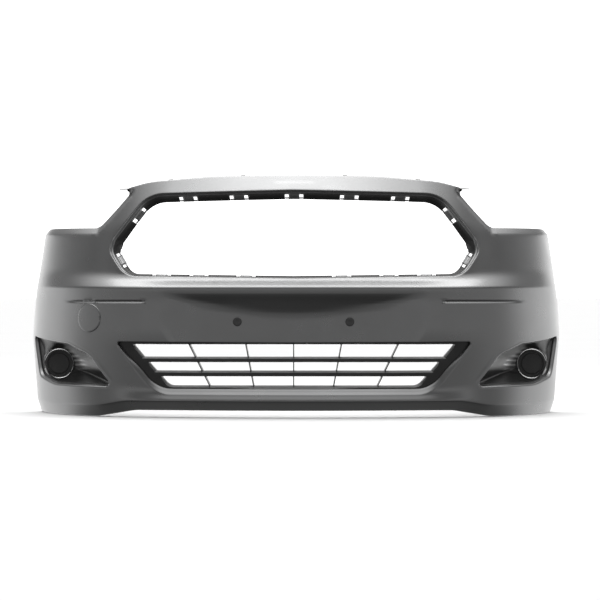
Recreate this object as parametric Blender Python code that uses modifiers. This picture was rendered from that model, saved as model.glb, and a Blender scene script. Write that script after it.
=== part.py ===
"""Front bumper cover of a small van with its grille, fog bezels, blanks, plugs, tow-eye cover and fixings.

Metres, +Z up, +X to the right seen from in front, the front faces -Y. The origin is under the middle of the
cover. A place on the cover is given by its distance round the bend from the middle (s), its height (z) and
its depth behind the outermost line of the nose.
"""

import math

import bmesh
import bpy
from mathutils import Matrix, Vector
from mathutils.geometry import delaunay_2d_cdt

# Bend of the nose seen from above
NOSE_FRONT = -0.2566
NOSE_RADIUS = 2.4
CORNER_RADIUS = 0.455
FLANK_RADIUS = 8.0
CORNER_START = 0.49
CORNER_END = 1.05
BEND_BLEND = 0.14
BEND_STEP = 0.002
BEND_LENGTH = 1.5

# Heights and overall sizes
TOP_HEIGHT = 0.7385
SHOULDER_HEIGHT = 0.583
CREASE_HEIGHT = 0.395
REAR_REACH = 1.12
CHIN_HEIGHT = 0.020
WALL = 0.003

# Wheel arch
ARCH_RADIUS = 0.37
ARCH_HEIGHT = 0.082
ARCH_FRONT = 1.0

# Plate panel and the dark recess over it
PANEL_SET_BACK = 0.034
PANEL_TOP = 0.317
ROOF_TOP = 0.376
PANEL_HALF_TOP = 0.462
PANEL_HALF_BASE = 0.385
PANEL_BASE = 0.2265
PANEL_HALF_LOW = 0.470
PANEL_FLARE = 2.5
PANEL_REACH = 0.6
ROOF_START = 0.004
FACET_SLOPE = 1.0
ROOF_ROUND = 0.006
FACET_ROUND = 0.024
FLOOR_ROUND = 0.004
RECESS_ROUND = 0.003

# Groove across each cheek
GROOVE_TOP = 0.3565
GROOVE_DROP = 0.003
GROOVE_RISE = 0.008
GROOVE_DEPTH = 0.005
GROOVE_INNER = 0.447
GROOVE_OUTER = 0.760
GROOVE_INNER_FADE = 0.012
GROOVE_OUTER_FADE = 0.090

# Edge strip along the headlamp cut
STRIP_WIDTH = 0.018
STRIP_DEPTH = 0.010
STRIP_FROM = (0.50, 0.55)

# Openings and what sits in them
LIP_DEPTH = 0.012
LIP_DRAFT = 0.002
LIP_ROUND = 0.003
GAP = 0.0003
SEAT = LIP_DEPTH + 0.0015
FLANGE_DEPTH = 0.016
UPPER_SHIFT = 0.022
UPPER_DROP = 0.034
UPPER_FOOT_SHARE = 0.15
LOOP_LENGTH = 0.055
TAB_LENGTH = 0.024
LOOP_REACH = 0.012
LOOP_ROOT = 0.003
LOOP_BAR = 0.004
LOOP_FRONT = 0.0004
LOOP_BACK = 0.0026
TOP_LOOPS = ((0.0, 0.690), (0.178, 0.689), (0.345, 0.686), (0.520, 0.630), (0.566, 0.470))
TOP_TABS = ((0.090, 0.690), (0.262, 0.688), (0.425, 0.678), (0.610, 0.525))
LOW_LOOPS = ((0.150, 0.422), (0.300, 0.422), (0.420, 0.427))
TAB_PLACE = (0.568, 0.699)
TAB_BACK = 0.010
TAB_TURN = 20.0
TAB_SIZE = (0.060, 0.024, 0.003)
GRILLE_INSET = 0.004
GRILLE_ROWS = ((0.184, 0.222), (0.142, 0.168), (0.097, 0.125))
GRILLE_RIBS = ((0.124, 0.19), (0.259, 0.50), (0.386, 0.90))
RIB_WIDTH = 0.003
GRILLE_DEPTH = 0.024
GRILLE_BORDER = 0.012
BEZEL_WALL = 0.0025
BEZEL_BORDER = 0.010
BLANK_RADIUS = 0.0445
BLANK_PLACE = (0.8743, 0.156)
BLANK_DROP = 0.0486
BLANK_YAW = 6.0
FOG_MIDDLE = (0.785, 0.156)
FUNNEL_SAG = 0.006
BLANK_FIT = 0.0019
COLLAR_DEPTH = 0.016
BLANK_PROFILE = ((0.0, -0.003), (0.030, -0.003), (0.033, -0.005), (0.036, -0.005), (0.038, -0.001))
BLANK_RIM = (-0.002, -0.011)
FUNNEL_SHARES = (0.33, 0.66)

# Tow-eye cover
TOW_CENTRE = (-0.642, 0.301)
TOW_HOLE_RADIUS = 0.0425
TOW_RIM_GAP = 0.0008
TOW_SKIRT = 0.008
TOW_RIM_DEPTH = 0.009

# Plate plugs
PLUG_SPREAD = 0.172
PLUG_HEIGHT = 0.290
PLUG_HOLE_RADIUS = 0.0095
PLUG_HEAD_RADIUS = 0.0135
PLUG_HEAD_THICKNESS = 0.002
PLUG_LENGTH = 0.010
PLUG_BEVEL = 0.001
PLUG_TAPER = 0.002
PLUG_FIT = 0.0008

# Fixings
SCREW_SHANK = 0.0018
SCREW_HEAD = 0.0055
SCREW_HEAD_THICKNESS = 0.003
SCREW_FIT = 0.0005
SCREW_BITE = 0.006
SCREW_POINT = 0.001
HEAD_ROOM = 0.0015
BOSS_RADIUS = 0.0065
GRILLE_SCREW_SPOTS = ((-0.27, 0.2265), (0.0, 0.2265), (0.27, 0.2265), (-0.25, 0.075), (0.25, 0.075),
                      (-0.49, 0.155), (0.49, 0.155))
FOG_SCREW_SPOTS = ((0.600, 0.142), (0.820, 0.228), (0.720, 0.097))
EAR_RADIUS = 0.010
EAR_AWAY = 0.012
EAR_THICKNESS = 0.003
EAR_SINK = 0.0002
OVERRUN = 0.001
TOP_NUTS = (0.15, 0.40)
NUT_WIDTH = 0.014
NUT_LENGTH = 0.0095
NUT_SHEET = 0.001
NUT_FIT = 0.0009

# Meshing
SPACING = 0.060
EDGE_STEP = 0.050
ARC_TURN = 20.0
SLIVER = 1e-7
TINY_STEP = 0.002

GREY = ("primer_grey", (0.16, 0.16, 0.165, 1.0), 0.38, 0.0)
BLACK = ("moulded_black", (0.018, 0.018, 0.019, 1.0), 0.55, 0.0)
ZINC = ("zinc_steel", (0.55, 0.54, 0.50, 1.0), 0.35, 1.0)


def clear_scene():
    for item in list(bpy.data.objects):
        bpy.data.objects.remove(item, do_unlink=True)


def ease(t):
    t = min(max(t, 0.0), 1.0)
    return t * t * (3.0 - 2.0 * t)


def build_bend():
    """Places and directions along the bend, one every BEND_STEP."""
    x, y, turn = 0.0, NOSE_FRONT, 0.0
    places = [(x, y, turn)]
    for index in range(int(BEND_LENGTH / BEND_STEP)):
        along = (index + 0.5) * BEND_STEP
        corner = ease((along - CORNER_START) / BEND_BLEND + 0.5)
        flank = ease((along - CORNER_END) / BEND_BLEND + 0.5)
        bend = (1 - corner) / NOSE_RADIUS + (corner - flank) / CORNER_RADIUS + flank / FLANK_RADIUS
        turn += bend * BEND_STEP
        x += math.cos(turn) * BEND_STEP
        y += math.sin(turn) * BEND_STEP
        places.append((x, y, turn))
    return places


BEND = build_bend()


def bend_at(s):
    """Right-hand x, y and direction of the bend at a distance s from the middle."""
    place = abs(s) / BEND_STEP
    index = min(int(place), len(BEND) - 2)
    part = place - index
    first, second = BEND[index], BEND[index + 1]
    return [a + (b - a) * part for a, b in zip(first, second)]


def point_at(s, z, depth):
    """The world point at s and z, a depth behind the bend."""
    x, y, turn = bend_at(s)
    side = -1.0 if s < 0 else 1.0
    return Vector((side * (x - math.sin(turn) * depth), y + math.cos(turn) * depth, z))


def outward_at(s):
    """The direction that faces out of the cover at s."""
    turn = bend_at(s)[2]
    side = -1.0 if s < 0 else 1.0
    return Vector((side * math.sin(turn), -math.cos(turn), 0.0))


STATIONS = (0.0, 0.38, 0.50, 0.62, 0.80, 1.0, 1.17)

# Each line of the side profile: heights at the stations, depths at the stations, rounding
PROFILE = (
    (
        (0.020, 0.020, 0.018, 0.004, 0.0, 0.0, 0.0),
        (0.050, 0.050, 0.046, 0.036, 0.028, 0.026, 0.026),
        0.003,
    ),
    (
        (0.050, 0.050, 0.050, 0.036, 0.036, 0.042, 0.042),
        (0.010, 0.010, 0.008, 0.006, 0.010, 0.012, 0.012),
        0.004,
    ),
    (
        (0.077, 0.077, 0.087, 0.102, 0.102, 0.102, 0.102),
        (0.022, 0.022, 0.014, 0.000, 0.004, 0.008, 0.010),
        0.012,
    ),
    ((0.242,) * 7, (0.0,) * 7, 0.030),
    ((0.355,) * 7, (0.002, 0.002, 0.002, 0.002, 0.004, 0.008, 0.010), 0.012),
    ((CREASE_HEIGHT,) * 7, (0.0, 0.0, 0.002, 0.003, 0.006, 0.012, 0.016), 0.005),
    (
        (0.422, 0.422, 0.424, 0.432, 0.442, 0.442, 0.442),
        (0.040, 0.040, 0.036, 0.030, 0.026, 0.022, 0.022),
        0.012,
    ),
    (
        (0.682, 0.657, 0.612, 0.572, 0.572, 0.572, 0.572),
        (0.085, 0.082, 0.079, 0.075, 0.062, 0.044, 0.040),
        0.015,
    ),
    (
        (0.737, 0.727, 0.712, 0.692, 0.692, 0.692, 0.692),
        (0.135, 0.130, 0.125, 0.120, 0.110, 0.090, 0.080),
        0.010,
    ),
)


def along_stations(values, s):
    """A smooth run through a line's values at the stations."""
    s = min(abs(s), STATIONS[-1])
    index = 0
    while index < len(STATIONS) - 2 and s > STATIONS[index + 1]:
        index += 1
    left, right = STATIONS[index], STATIONS[index + 1]
    span = right - left
    part = (s - left) / span
    rise = (values[index + 1] - values[index]) / span

    def slope(k):
        if k in (0, len(STATIONS) - 1):
            return 0.0 if k == 0 else rise
        before = (values[k] - values[k - 1]) / (STATIONS[k] - STATIONS[k - 1])
        after = (values[k + 1] - values[k]) / (STATIONS[k + 1] - STATIONS[k])
        return 0.0 if before * after <= 0 else 2 * before * after / (before + after)

    square, cube = part * part, part ** 3
    return (
        (2 * cube - 3 * square + 1) * values[index]
        + (cube - 2 * square + part) * span * slope(index)
        + (3 * square - 2 * cube) * values[index + 1]
        + (cube - square) * span * slope(index + 1)
    )


def bent_ramp(t, rounding):
    """Nothing below zero and t above it, with a round start."""
    if t <= -rounding:
        return 0.0
    if t >= rounding:
        return t
    return (t + rounding) ** 2 / (4 * rounding)


def lesser(a, b, rounding):
    blend = max(rounding - abs(a - b), 0.0) / rounding
    return min(a, b) - blend * blend * rounding / 4


def greater(a, b, rounding):
    return -lesser(-a, -b, rounding)


def base_depth(s, z):
    """Depth of the plain body of the cover, before the panel and grooves."""
    lines = [(along_stations(h, s), along_stations(d, s), r) for h, d, r in PROFILE]
    slopes = [(b[1] - a[1]) / (b[0] - a[0]) for a, b in zip(lines, lines[1:])]
    depth = lines[0][1] + slopes[0] * (z - lines[0][0])
    for line, before, after in zip(lines[1:-1], slopes, slopes[1:]):
        depth += (after - before) * bent_ramp(z - line[0], line[2])
    return depth


def panel_half_width(z):
    if z < PANEL_BASE:
        return min(PANEL_HALF_BASE + (PANEL_BASE - z) * PANEL_FLARE, PANEL_HALF_LOW)
    share = (z - PANEL_BASE) / (GROOVE_TOP - PANEL_BASE)
    return PANEL_HALF_BASE + share * (PANEL_HALF_TOP - PANEL_HALF_BASE)


def groove_depth(s, z):
    fade = ease((abs(s) - GROOVE_INNER) / GROOVE_INNER_FADE)
    fade *= ease((GROOVE_OUTER - abs(s)) / GROOVE_OUTER_FADE)
    below = GROOVE_TOP - z
    if below <= 0 or below >= GROOVE_DROP + GROOVE_RISE or fade == 0.0:
        return 0.0
    if below < GROOVE_DROP:
        return fade * GROOVE_DEPTH * below / GROOVE_DROP
    return fade * GROOVE_DEPTH * (1 - (below - GROOVE_DROP) / GROOVE_RISE)


def distance_to(point, line):
    """Shortest distance from a flat point to an open line of flat points."""
    best = 1.0
    for a, b in zip(line, line[1:]):
        run, rise = b[0] - a[0], b[1] - a[1]
        share = ((point[0] - a[0]) * run + (point[1] - a[1]) * rise) / (run * run + rise * rise)
        share = min(max(share, 0.0), 1.0)
        best = min(best, math.hypot(point[0] - a[0] - share * run, point[1] - a[1] - share * rise))
    return best


# Outlines in s and z, one half, as corners with a corner radius
UPPER_OPENING = ((0.53, 0.429, 0.09), (0.615, 0.522, 0.045), (0.475, 0.681, 0.12), (0.0, 0.690, 0.0))
UPPER_OPENING_FOOT = 0.422
LOWER_OPENING = ((0.43, 0.075, 0.11), (0.548, 0.2295, 0.006), (0.385, 0.2285, 0.0), (0.0, PANEL_BASE, 0.0))
LOWER_OPENING_FOOT = 0.075
FOG_OPENING = (
    (0.562, 0.095, 0.010),
    (0.800, 0.097, 0.200),
    (0.930, 0.120, 0.050),
    (0.985, 0.241, 0.010),
    (0.730, 0.221, 0.100),
    (0.640, 0.188, 0.080),
)
HEADLAMP_CUT = ((0.556, 0.687, 0.012), (0.672, 0.578, 0.050), (REAR_REACH, SHOULDER_HEIGHT, 0.015))
TOP_EDGE = ((0.575, 0.700, 0.006), (0.470, 0.721, 0.400), (0.270, 0.736, 0.600), (0.0, TOP_HEIGHT, 0.0))


def depth_at(s, z):
    """Depth of the finished outer face."""
    base = base_depth(s, z)
    _, y, turn = bend_at(s)
    panel = (NOSE_FRONT + PANEL_SET_BACK - y) / math.cos(turn) if abs(s) < PANEL_REACH else 0.0
    roof_slope = (PANEL_SET_BACK - ROOF_START) / (ROOF_TOP - PANEL_TOP)
    recess = lesser(panel, base + roof_slope * (ROOF_TOP - z), ROOF_ROUND)
    recess = lesser(recess, base + FACET_SLOPE * (panel_half_width(z) - abs(s)), FACET_ROUND)
    recess = lesser(recess, base + z - LOWER_OPENING_FOOT, FLOOR_ROUND)
    depth = greater(base, recess, RECESS_ROUND) + groove_depth(s, z)
    if abs(s) > STRIP_FROM[0] and z > STRIP_FROM[1]:
        edge = [(a, b) for a, b, _ in HEADLAMP_CUT]
        near = 1 - distance_to((abs(s), z), edge) / STRIP_WIDTH
        depth += STRIP_DEPTH * max(near, 0.0)
    return depth


def rounded(corners, step=EDGE_STEP):
    """Points round a closed outline whose corners are arcs, the straight runs split to the step."""
    points = []
    count = len(corners)
    for index, (s, z, radius) in enumerate(corners):
        here = Vector((s, z))
        to_last = (Vector(corners[index - 1][:2]) - here).normalized()
        to_next = (Vector(corners[(index + 1) % count][:2]) - here).normalized()
        turn = math.pi - to_last.angle(to_next)
        if radius == 0.0 or turn < 0.01:
            points.append(here)
            continue
        reach = radius * math.tan(turn / 2)
        centre = here + (to_last + to_next).normalized() * (radius / math.cos(turn / 2))
        steps = max(2, math.ceil(math.degrees(turn) / ARC_TURN))
        start = here + to_last * reach - centre
        sweep = turn if to_last.cross(to_next) < 0 else -turn
        for k in range(steps + 1):
            points.append(centre + Matrix.Rotation(sweep * k / steps, 2) @ start)
    split = []
    for a, b in zip(points, points[1:] + points[:1]):
        pieces = max(1, math.ceil((b - a).length / step))
        split += [a.lerp(b, k / pieces) for k in range(pieces)]
    return split


def both_halves(half, foot):
    """A closed outline from its right half, which runs upward from the foot on the middle line."""
    left = [(-s, z, r) for s, z, r in reversed(half) if s > 0]
    return [(0.0, foot, 0.0)] + list(half) + left


def mirrored(corners):
    return [(-s, z, r) for s, z, r in reversed(corners)]


def rear_edge():
    """Corners down the rear of the right half: straight, then round the wheel arch."""
    centre = ARCH_FRONT + ARCH_RADIUS
    top = math.acos((centre - REAR_REACH) / ARCH_RADIUS)
    low = -math.asin(ARCH_HEIGHT / ARCH_RADIUS)
    corners = []
    steps = 7
    for k in range(steps + 1):
        angle = low + (top - low) * k / steps
        along = centre - ARCH_RADIUS * math.cos(angle)
        height = ARCH_HEIGHT + ARCH_RADIUS * math.sin(angle)
        corners.append((along, height, 0.0))
    return corners


def cover_outline():
    """Whole outer edge of the cover, right half upward from the middle of the chin."""
    chin = [(0.50, CHIN_HEIGHT, 0.15), (0.63, 0.0, 0.15)]
    half = chin + rear_edge() + [HEADLAMP_CUT[2], HEADLAMP_CUT[1], HEADLAMP_CUT[0]] + list(TOP_EDGE)
    return both_halves(half, CHIN_HEIGHT)


def offset_outline(points, distance, foot_share=1.0):
    """The counter-clockwise outline moved outward by the distance, and by a share of it along its foot."""
    moved = []
    count = len(points)
    for index, here in enumerate(points):
        before = (here - points[index - 1]).normalized()
        after = (points[(index + 1) % count] - here).normalized()
        way = Vector((before.y + after.y, -before.x - after.x)).normalized()
        share = 1.0 - (1.0 - foot_share) * max(-way.y, 0.0) ** 2
        moved.append(here + way * distance * share / max(way.dot(Vector((after.y, -after.x))), 0.6))
    return moved


def inside(point, outline):
    found = False
    for a, b in zip(outline, outline[1:] + outline[:1]):
        if (a.y > point.y) != (b.y > point.y):
            if point.x < (b.x - a.x) * (point.y - a.y) / (b.y - a.y) + a.x:
                found = not found
    return found


def triangulate(outer, holes, lines, spacing):
    """Flat triangles inside the outer outline and outside the holes, with edges along the lines."""
    points, edges = [], []

    def add(run, closed):
        start = len(points)
        points.extend(run)
        last = len(run) if closed else len(run) - 1
        edges.extend((start + k, start + (k + 1) % len(run)) for k in range(last))

    add(outer, True)
    for hole in holes:
        add(hole, True)
    for line in lines:
        add([Vector(p) for p in line], False)
    fixed = list(points)
    low_s = min(p.x for p in outer)
    high_s = max(p.x for p in outer)
    low_z = min(p.y for p in outer)
    high_z = max(p.y for p in outer)
    rows = int((high_z - low_z) / (spacing * 0.8))
    columns = int((high_s - low_s) / spacing)
    for row in range(1, rows + 1):
        for column in range(columns + 1):
            shift = 0.5 * (row % 2)
            spot = Vector((low_s + (column + shift) * (high_s - low_s) / columns,
                           low_z + row * (high_z - low_z) / (rows + 1)))
            if inside(spot, outer) and not any(inside(spot, hole) for hole in holes):
                if min((spot - p).length for p in fixed) > spacing * 0.45:
                    points.append(spot)
    flat, _, faces, _, _, _ = delaunay_2d_cdt(points, edges, [], 0, 1e-6)
    kept = []
    for face in faces:
        a, b, c = [flat[k] for k in face]
        middle = (a + b + c) / 3
        if abs((b - a).cross(c - a)) > SLIVER and inside(middle, outer):
            if not any(inside(middle, hole) for hole in holes):
                kept.append(face)
    return flat, kept


def new_object(name, mesh, finish, collection):
    item = bpy.data.objects.new(name, mesh)
    collection.objects.link(item)
    if finish is not None:
        item.data.materials.append(material(name, finish))
    return item


def material(name, finish):
    _, colour, roughness, metallic = finish
    made = bpy.data.materials.new(name + "_" + finish[0])
    made.use_nodes = True
    shader = made.node_tree.nodes["Principled BSDF"]
    shader.inputs["Base Color"].default_value = colour
    shader.inputs["Roughness"].default_value = roughness
    shader.inputs["Metallic"].default_value = metallic
    return made


def sheet_mesh(name, outer, holes, lines, rims, place):
    """An open surface through the flat outline, with rim walls turned back from its edges.

    rims pairs an outline with its walls. Each wall is an outward shift, a drop behind the face and the share
    of the shift that its foot takes.
    """
    flat, faces = triangulate(outer, holes, lines, SPACING)
    frame = bmesh.new()
    verts = {}

    def vertex(k):
        if k not in verts:
            verts[k] = frame.verts.new(place(flat[k].x, flat[k].y, 0.0, flat[k]))
        return verts[k]

    for face in faces:
        a, b, c = [vertex(k) for k in face]
        frame.faces.new((a, b, c))
    near = {(round(flat[k].x, 5), round(flat[k].y, 5)): vert for k, vert in verts.items()}
    for outline, walls in rims:
        last = [near[(round(p.x, 5), round(p.y, 5))] for p in outline]
        for shift, drop, foot_share in walls:
            moved = offset_outline(outline, shift, foot_share)
            ring = [frame.verts.new(place(m.x, m.y, drop, p)) for m, p in zip(moved, outline)]
            count = len(ring)
            for k in range(count):
                following = (k + 1) % count
                frame.faces.new((last[k], last[following], ring[following], ring[k]))
            last = ring
    bmesh.ops.recalc_face_normals(frame, faces=frame.faces)
    lead = max(frame.faces, key=lambda face: face.calc_area())
    if lead.normal.y > 0:
        bmesh.ops.reverse_faces(frame, faces=frame.faces)
    mesh = bpy.data.meshes.new(name)
    frame.to_mesh(mesh)
    frame.free()
    return mesh


def on_face(s, z, drop, source):
    """A point of the cover's face, or one behind it by the drop at the depth of its source."""
    return point_at(s, z, depth_at(source.x, source.y) + drop)


def thicken(item, wall):
    solid = item.modifiers.new("wall", "SOLIDIFY")
    solid.thickness = wall
    solid.offset = -1.0
    solid.use_quality_normals = True


def cut(item, tool, operation="DIFFERENCE"):
    boolean = item.modifiers.new(tool.name, "BOOLEAN")
    boolean.operation = operation
    boolean.object = tool
    boolean.solver = "EXACT"


def row_of(s_from, s_to, z, step=EDGE_STEP):
    """A level run of flat points."""
    pieces = max(1, math.ceil(abs(s_to - s_from) / step))
    return [(s_from + (s_to - s_from) * k / pieces, z) for k in range(pieces + 1)]


def profile_row(index, reach):
    """A line of the side profile from one side to the other."""
    pieces = 2 * math.ceil(reach / EDGE_STEP)
    stations = [reach * (2 * k / pieces - 1) for k in range(pieces + 1)]
    return [(s, along_stations(PROFILE[index][0], s)) for s in stations]


def circle(centre, radius, sides):
    return [
        Vector((centre[0] + radius * math.cos(2 * math.pi * k / sides),
                centre[1] + radius * math.sin(2 * math.pi * k / sides)))
        for k in range(sides)
    ]


def turned(name, profile, collection, finish, sides=16):
    """A turned piece about Z from its profile, which runs down its outer side."""
    frame = bmesh.new()
    verts = [frame.verts.new((radius, 0.0, height)) for radius, height in profile]
    for a, b in zip(verts, verts[1:]):
        frame.edges.new((a, b))
    mesh = bpy.data.meshes.new(name)
    frame.to_mesh(mesh)
    frame.free()
    item = new_object(name, mesh, finish, collection)
    screw = item.modifiers.new("turn", "SCREW")
    screw.steps = sides
    screw.render_steps = sides
    screw.use_merge_vertices = True
    screw.merge_threshold = 0.00001
    return item


def cylinder_into(frame, matrix, radius, low, high, sides=12):
    """A cylinder about the Z of the matrix, from low to high, added to a bmesh."""
    place = matrix @ Matrix.Translation((0, 0, (low + high) / 2))
    bmesh.ops.create_cone(frame, cap_ends=True, segments=sides, radius1=radius, radius2=radius,
                          depth=high - low, matrix=place)


def box_into(frame, matrix, size):
    bmesh.ops.create_cube(frame, size=1.0, matrix=matrix @ Matrix.Diagonal((*size, 1.0)))


def tool_object(name, frame, collection):
    mesh = bpy.data.meshes.new(name)
    frame.to_mesh(mesh)
    frame.free()
    item = new_object(name, mesh, None, collection)
    item.hide_render = True
    item.display_type = "WIRE"
    return item


def polygon_prism(frame, matrix, outline, low, high):
    """A prism of a flat outline between two heights of the matrix, added to a bmesh."""
    floor = [frame.verts.new(matrix @ Vector((x, y, low))) for x, y in outline]
    roof = [frame.verts.new(matrix @ Vector((x, y, high))) for x, y in outline]
    frame.faces.new(list(reversed(floor)))
    frame.faces.new(roof)
    for k in range(len(outline)):
        after = (k + 1) % len(outline)
        frame.faces.new((floor[k], floor[after], roof[after], roof[k]))


def slab_mesh(name, outer, holes, lines, place, low, high, border=None):
    """A closed slab through the flat outline, its faces at the drops low and high behind the cover's face."""
    flat, faces = triangulate(outer, holes, lines, SPACING)
    frame = bmesh.new()
    used = sorted({k for face in faces for k in face})
    front = {k: frame.verts.new(place(flat[k].x, flat[k].y, low, flat[k])) for k in used}
    back = {k: frame.verts.new(place(flat[k].x, flat[k].y, high, flat[k])) for k in used}
    sides = {}
    for a, b, c in faces:
        frame.faces.new((front[a], front[b], front[c]))
        frame.faces.new((back[c], back[b], back[a]))
        for edge in ((a, b), (b, c), (c, a)):
            sides[edge] = edge[::-1] not in sides
            if not sides[edge]:
                sides[edge[::-1]] = False
    near = {(round(flat[k].x, 5), round(flat[k].y, 5)): k for k in used}
    ring = [near[(round(p.x, 5), round(p.y, 5))] for p in outer] if border else []
    ring_edges = set(zip(ring, ring[1:] + ring[:1]))
    for (a, b), single in sides.items():
        if single and (a, b) not in ring_edges:
            frame.faces.new((front[b], front[a], back[a], back[b]))
    if border:
        moved = offset_outline(outer, border)
        wide_front = [frame.verts.new(place(m.x, m.y, low, p)) for m, p in zip(moved, outer)]
        wide_back = [frame.verts.new(place(m.x, m.y, high, p)) for m, p in zip(moved, outer)]
        for k, a in enumerate(ring):
            after = (k + 1) % len(ring)
            b = ring[after]
            frame.faces.new((front[b], front[a], wide_front[k], wide_front[after]))
            frame.faces.new((back[a], back[b], wide_back[after], wide_back[k]))
            frame.faces.new((wide_front[after], wide_front[k], wide_back[k], wide_back[after]))
    bmesh.ops.recalc_face_normals(frame, faces=frame.faces)
    mesh = bpy.data.meshes.new(name)
    frame.to_mesh(mesh)
    frame.free()
    return mesh


def beside(outline, target, away, inner):
    """A place beside an outline near the target, and the spot inside the edge whose depth it shares."""
    index = min(range(len(outline)), key=lambda k: (outline[k] - Vector(target)).length)
    before, here, after = outline[index - 1], outline[index], outline[(index + 1) % len(outline)]
    run = (after - before).normalized()
    way = Vector((run.y, -run.x))
    return here + way * away, here - way * inner


def fixing_frame(place, source):
    """Axes of a screw: Z looks out of the cover, the origin lies on the seat that the fixed piece rests on."""

    def seat(shift):
        return point_at(place.x + shift, place.y, depth_at(source.x + shift, source.y) + SEAT)

    side = (seat(TINY_STEP) - seat(-TINY_STEP)).normalized()
    up = Vector((0, 0, 1))
    return Matrix.Translation(seat(0.0)) @ Matrix((side, up, side.cross(up))).transposed().to_4x4()


def grille_fixings():
    outline = rounded(both_halves(LOWER_OPENING, LOWER_OPENING_FOOT))
    return [beside(outline, target, EAR_AWAY, GRILLE_INSET) for target in GRILLE_SCREW_SPOTS]


def fog_fixings(side):
    outline = rounded(FOG_OPENING if side > 0 else mirrored(FOG_OPENING))
    return [beside(outline, (side * s, z), EAR_AWAY, GRILLE_INSET) for s, z in FOG_SCREW_SPOTS]


def loop_places():
    """Where the clip loops stand on the wall of the upper opening, with their lengths."""
    places = []
    for targets, length in ((TOP_LOOPS, LOOP_LENGTH), (TOP_TABS, TAB_LENGTH), (LOW_LOOPS, LOOP_LENGTH)):
        for s, z in targets:
            places += [(side * s, z, length) for side in ((-1, 1) if s else (1,))]
    return places


def edge_frame(outline, target, shift, drop, foot_share=1.0):
    """Axes at an edge wall: X along the edge, Y straight back, Z across the wall into the opening."""
    index = min(range(len(outline)), key=lambda k: (outline[k] - Vector(target)).length)
    before, here, after = outline[index - 1], outline[index], outline[(index + 1) % len(outline)]
    run = (after - before).normalized()
    way = Vector((-run.y, run.x))
    depth = depth_at(here.x, here.y) + drop
    centre = here + way * shift * (1.0 - (1.0 - foot_share) * max(way.y, 0.0) ** 2)
    origin = point_at(centre.x, centre.y, depth)
    along = centre + run * TINY_STEP
    across = centre + way * TINY_STEP
    x_axis = (point_at(along.x, along.y, depth) - origin).normalized()
    y_axis = -outward_at(centre.x)
    z_axis = (point_at(across.x, across.y, depth) - origin).normalized()
    x_axis = (x_axis - y_axis * x_axis.dot(y_axis)).normalized()
    z_axis = x_axis.cross(y_axis) * (1.0 if x_axis.cross(y_axis).dot(z_axis) > 0 else -1.0)
    if x_axis.cross(y_axis).dot(z_axis) < 0:
        x_axis = -x_axis
    return Matrix.Translation(origin) @ Matrix((x_axis, y_axis, z_axis)).transposed().to_4x4()


def loop_outline(length):
    """A clip loop seen flat: a bar on two posts, or a plain tab where it is short."""
    half = length / 2
    if length == TAB_LENGTH:
        return [(-half, -LOOP_ROOT), (half, -LOOP_ROOT), (half, LOOP_REACH), (-half, LOOP_REACH)]
    window = half - LOOP_BAR
    sill = LOOP_REACH - LOOP_BAR
    return [
        (-half, -LOOP_ROOT), (-window, -LOOP_ROOT), (-window, sill), (window, sill),
        (window, -LOOP_ROOT), (half, -LOOP_ROOT), (half, LOOP_REACH), (-half, LOOP_REACH),
    ]


def main():
    clear_scene()
    parts = bpy.data.collections.new("bumper_cover_assembly")
    tools = bpy.data.collections.new("cutters")
    bpy.context.scene.collection.children.link(parts)
    bpy.context.scene.collection.children.link(tools)
    build_cover(parts, tools)
    build_grille(parts, tools)
    for side, name in ((-1, "left"), (1, "right")):
        build_bezel(side, name, parts, tools)
        build_blank(side, name, parts)
        build_plug(side, name, parts)
    build_tow_cover(parts)
    build_screws(parts)
    build_nuts(parts)


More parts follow.
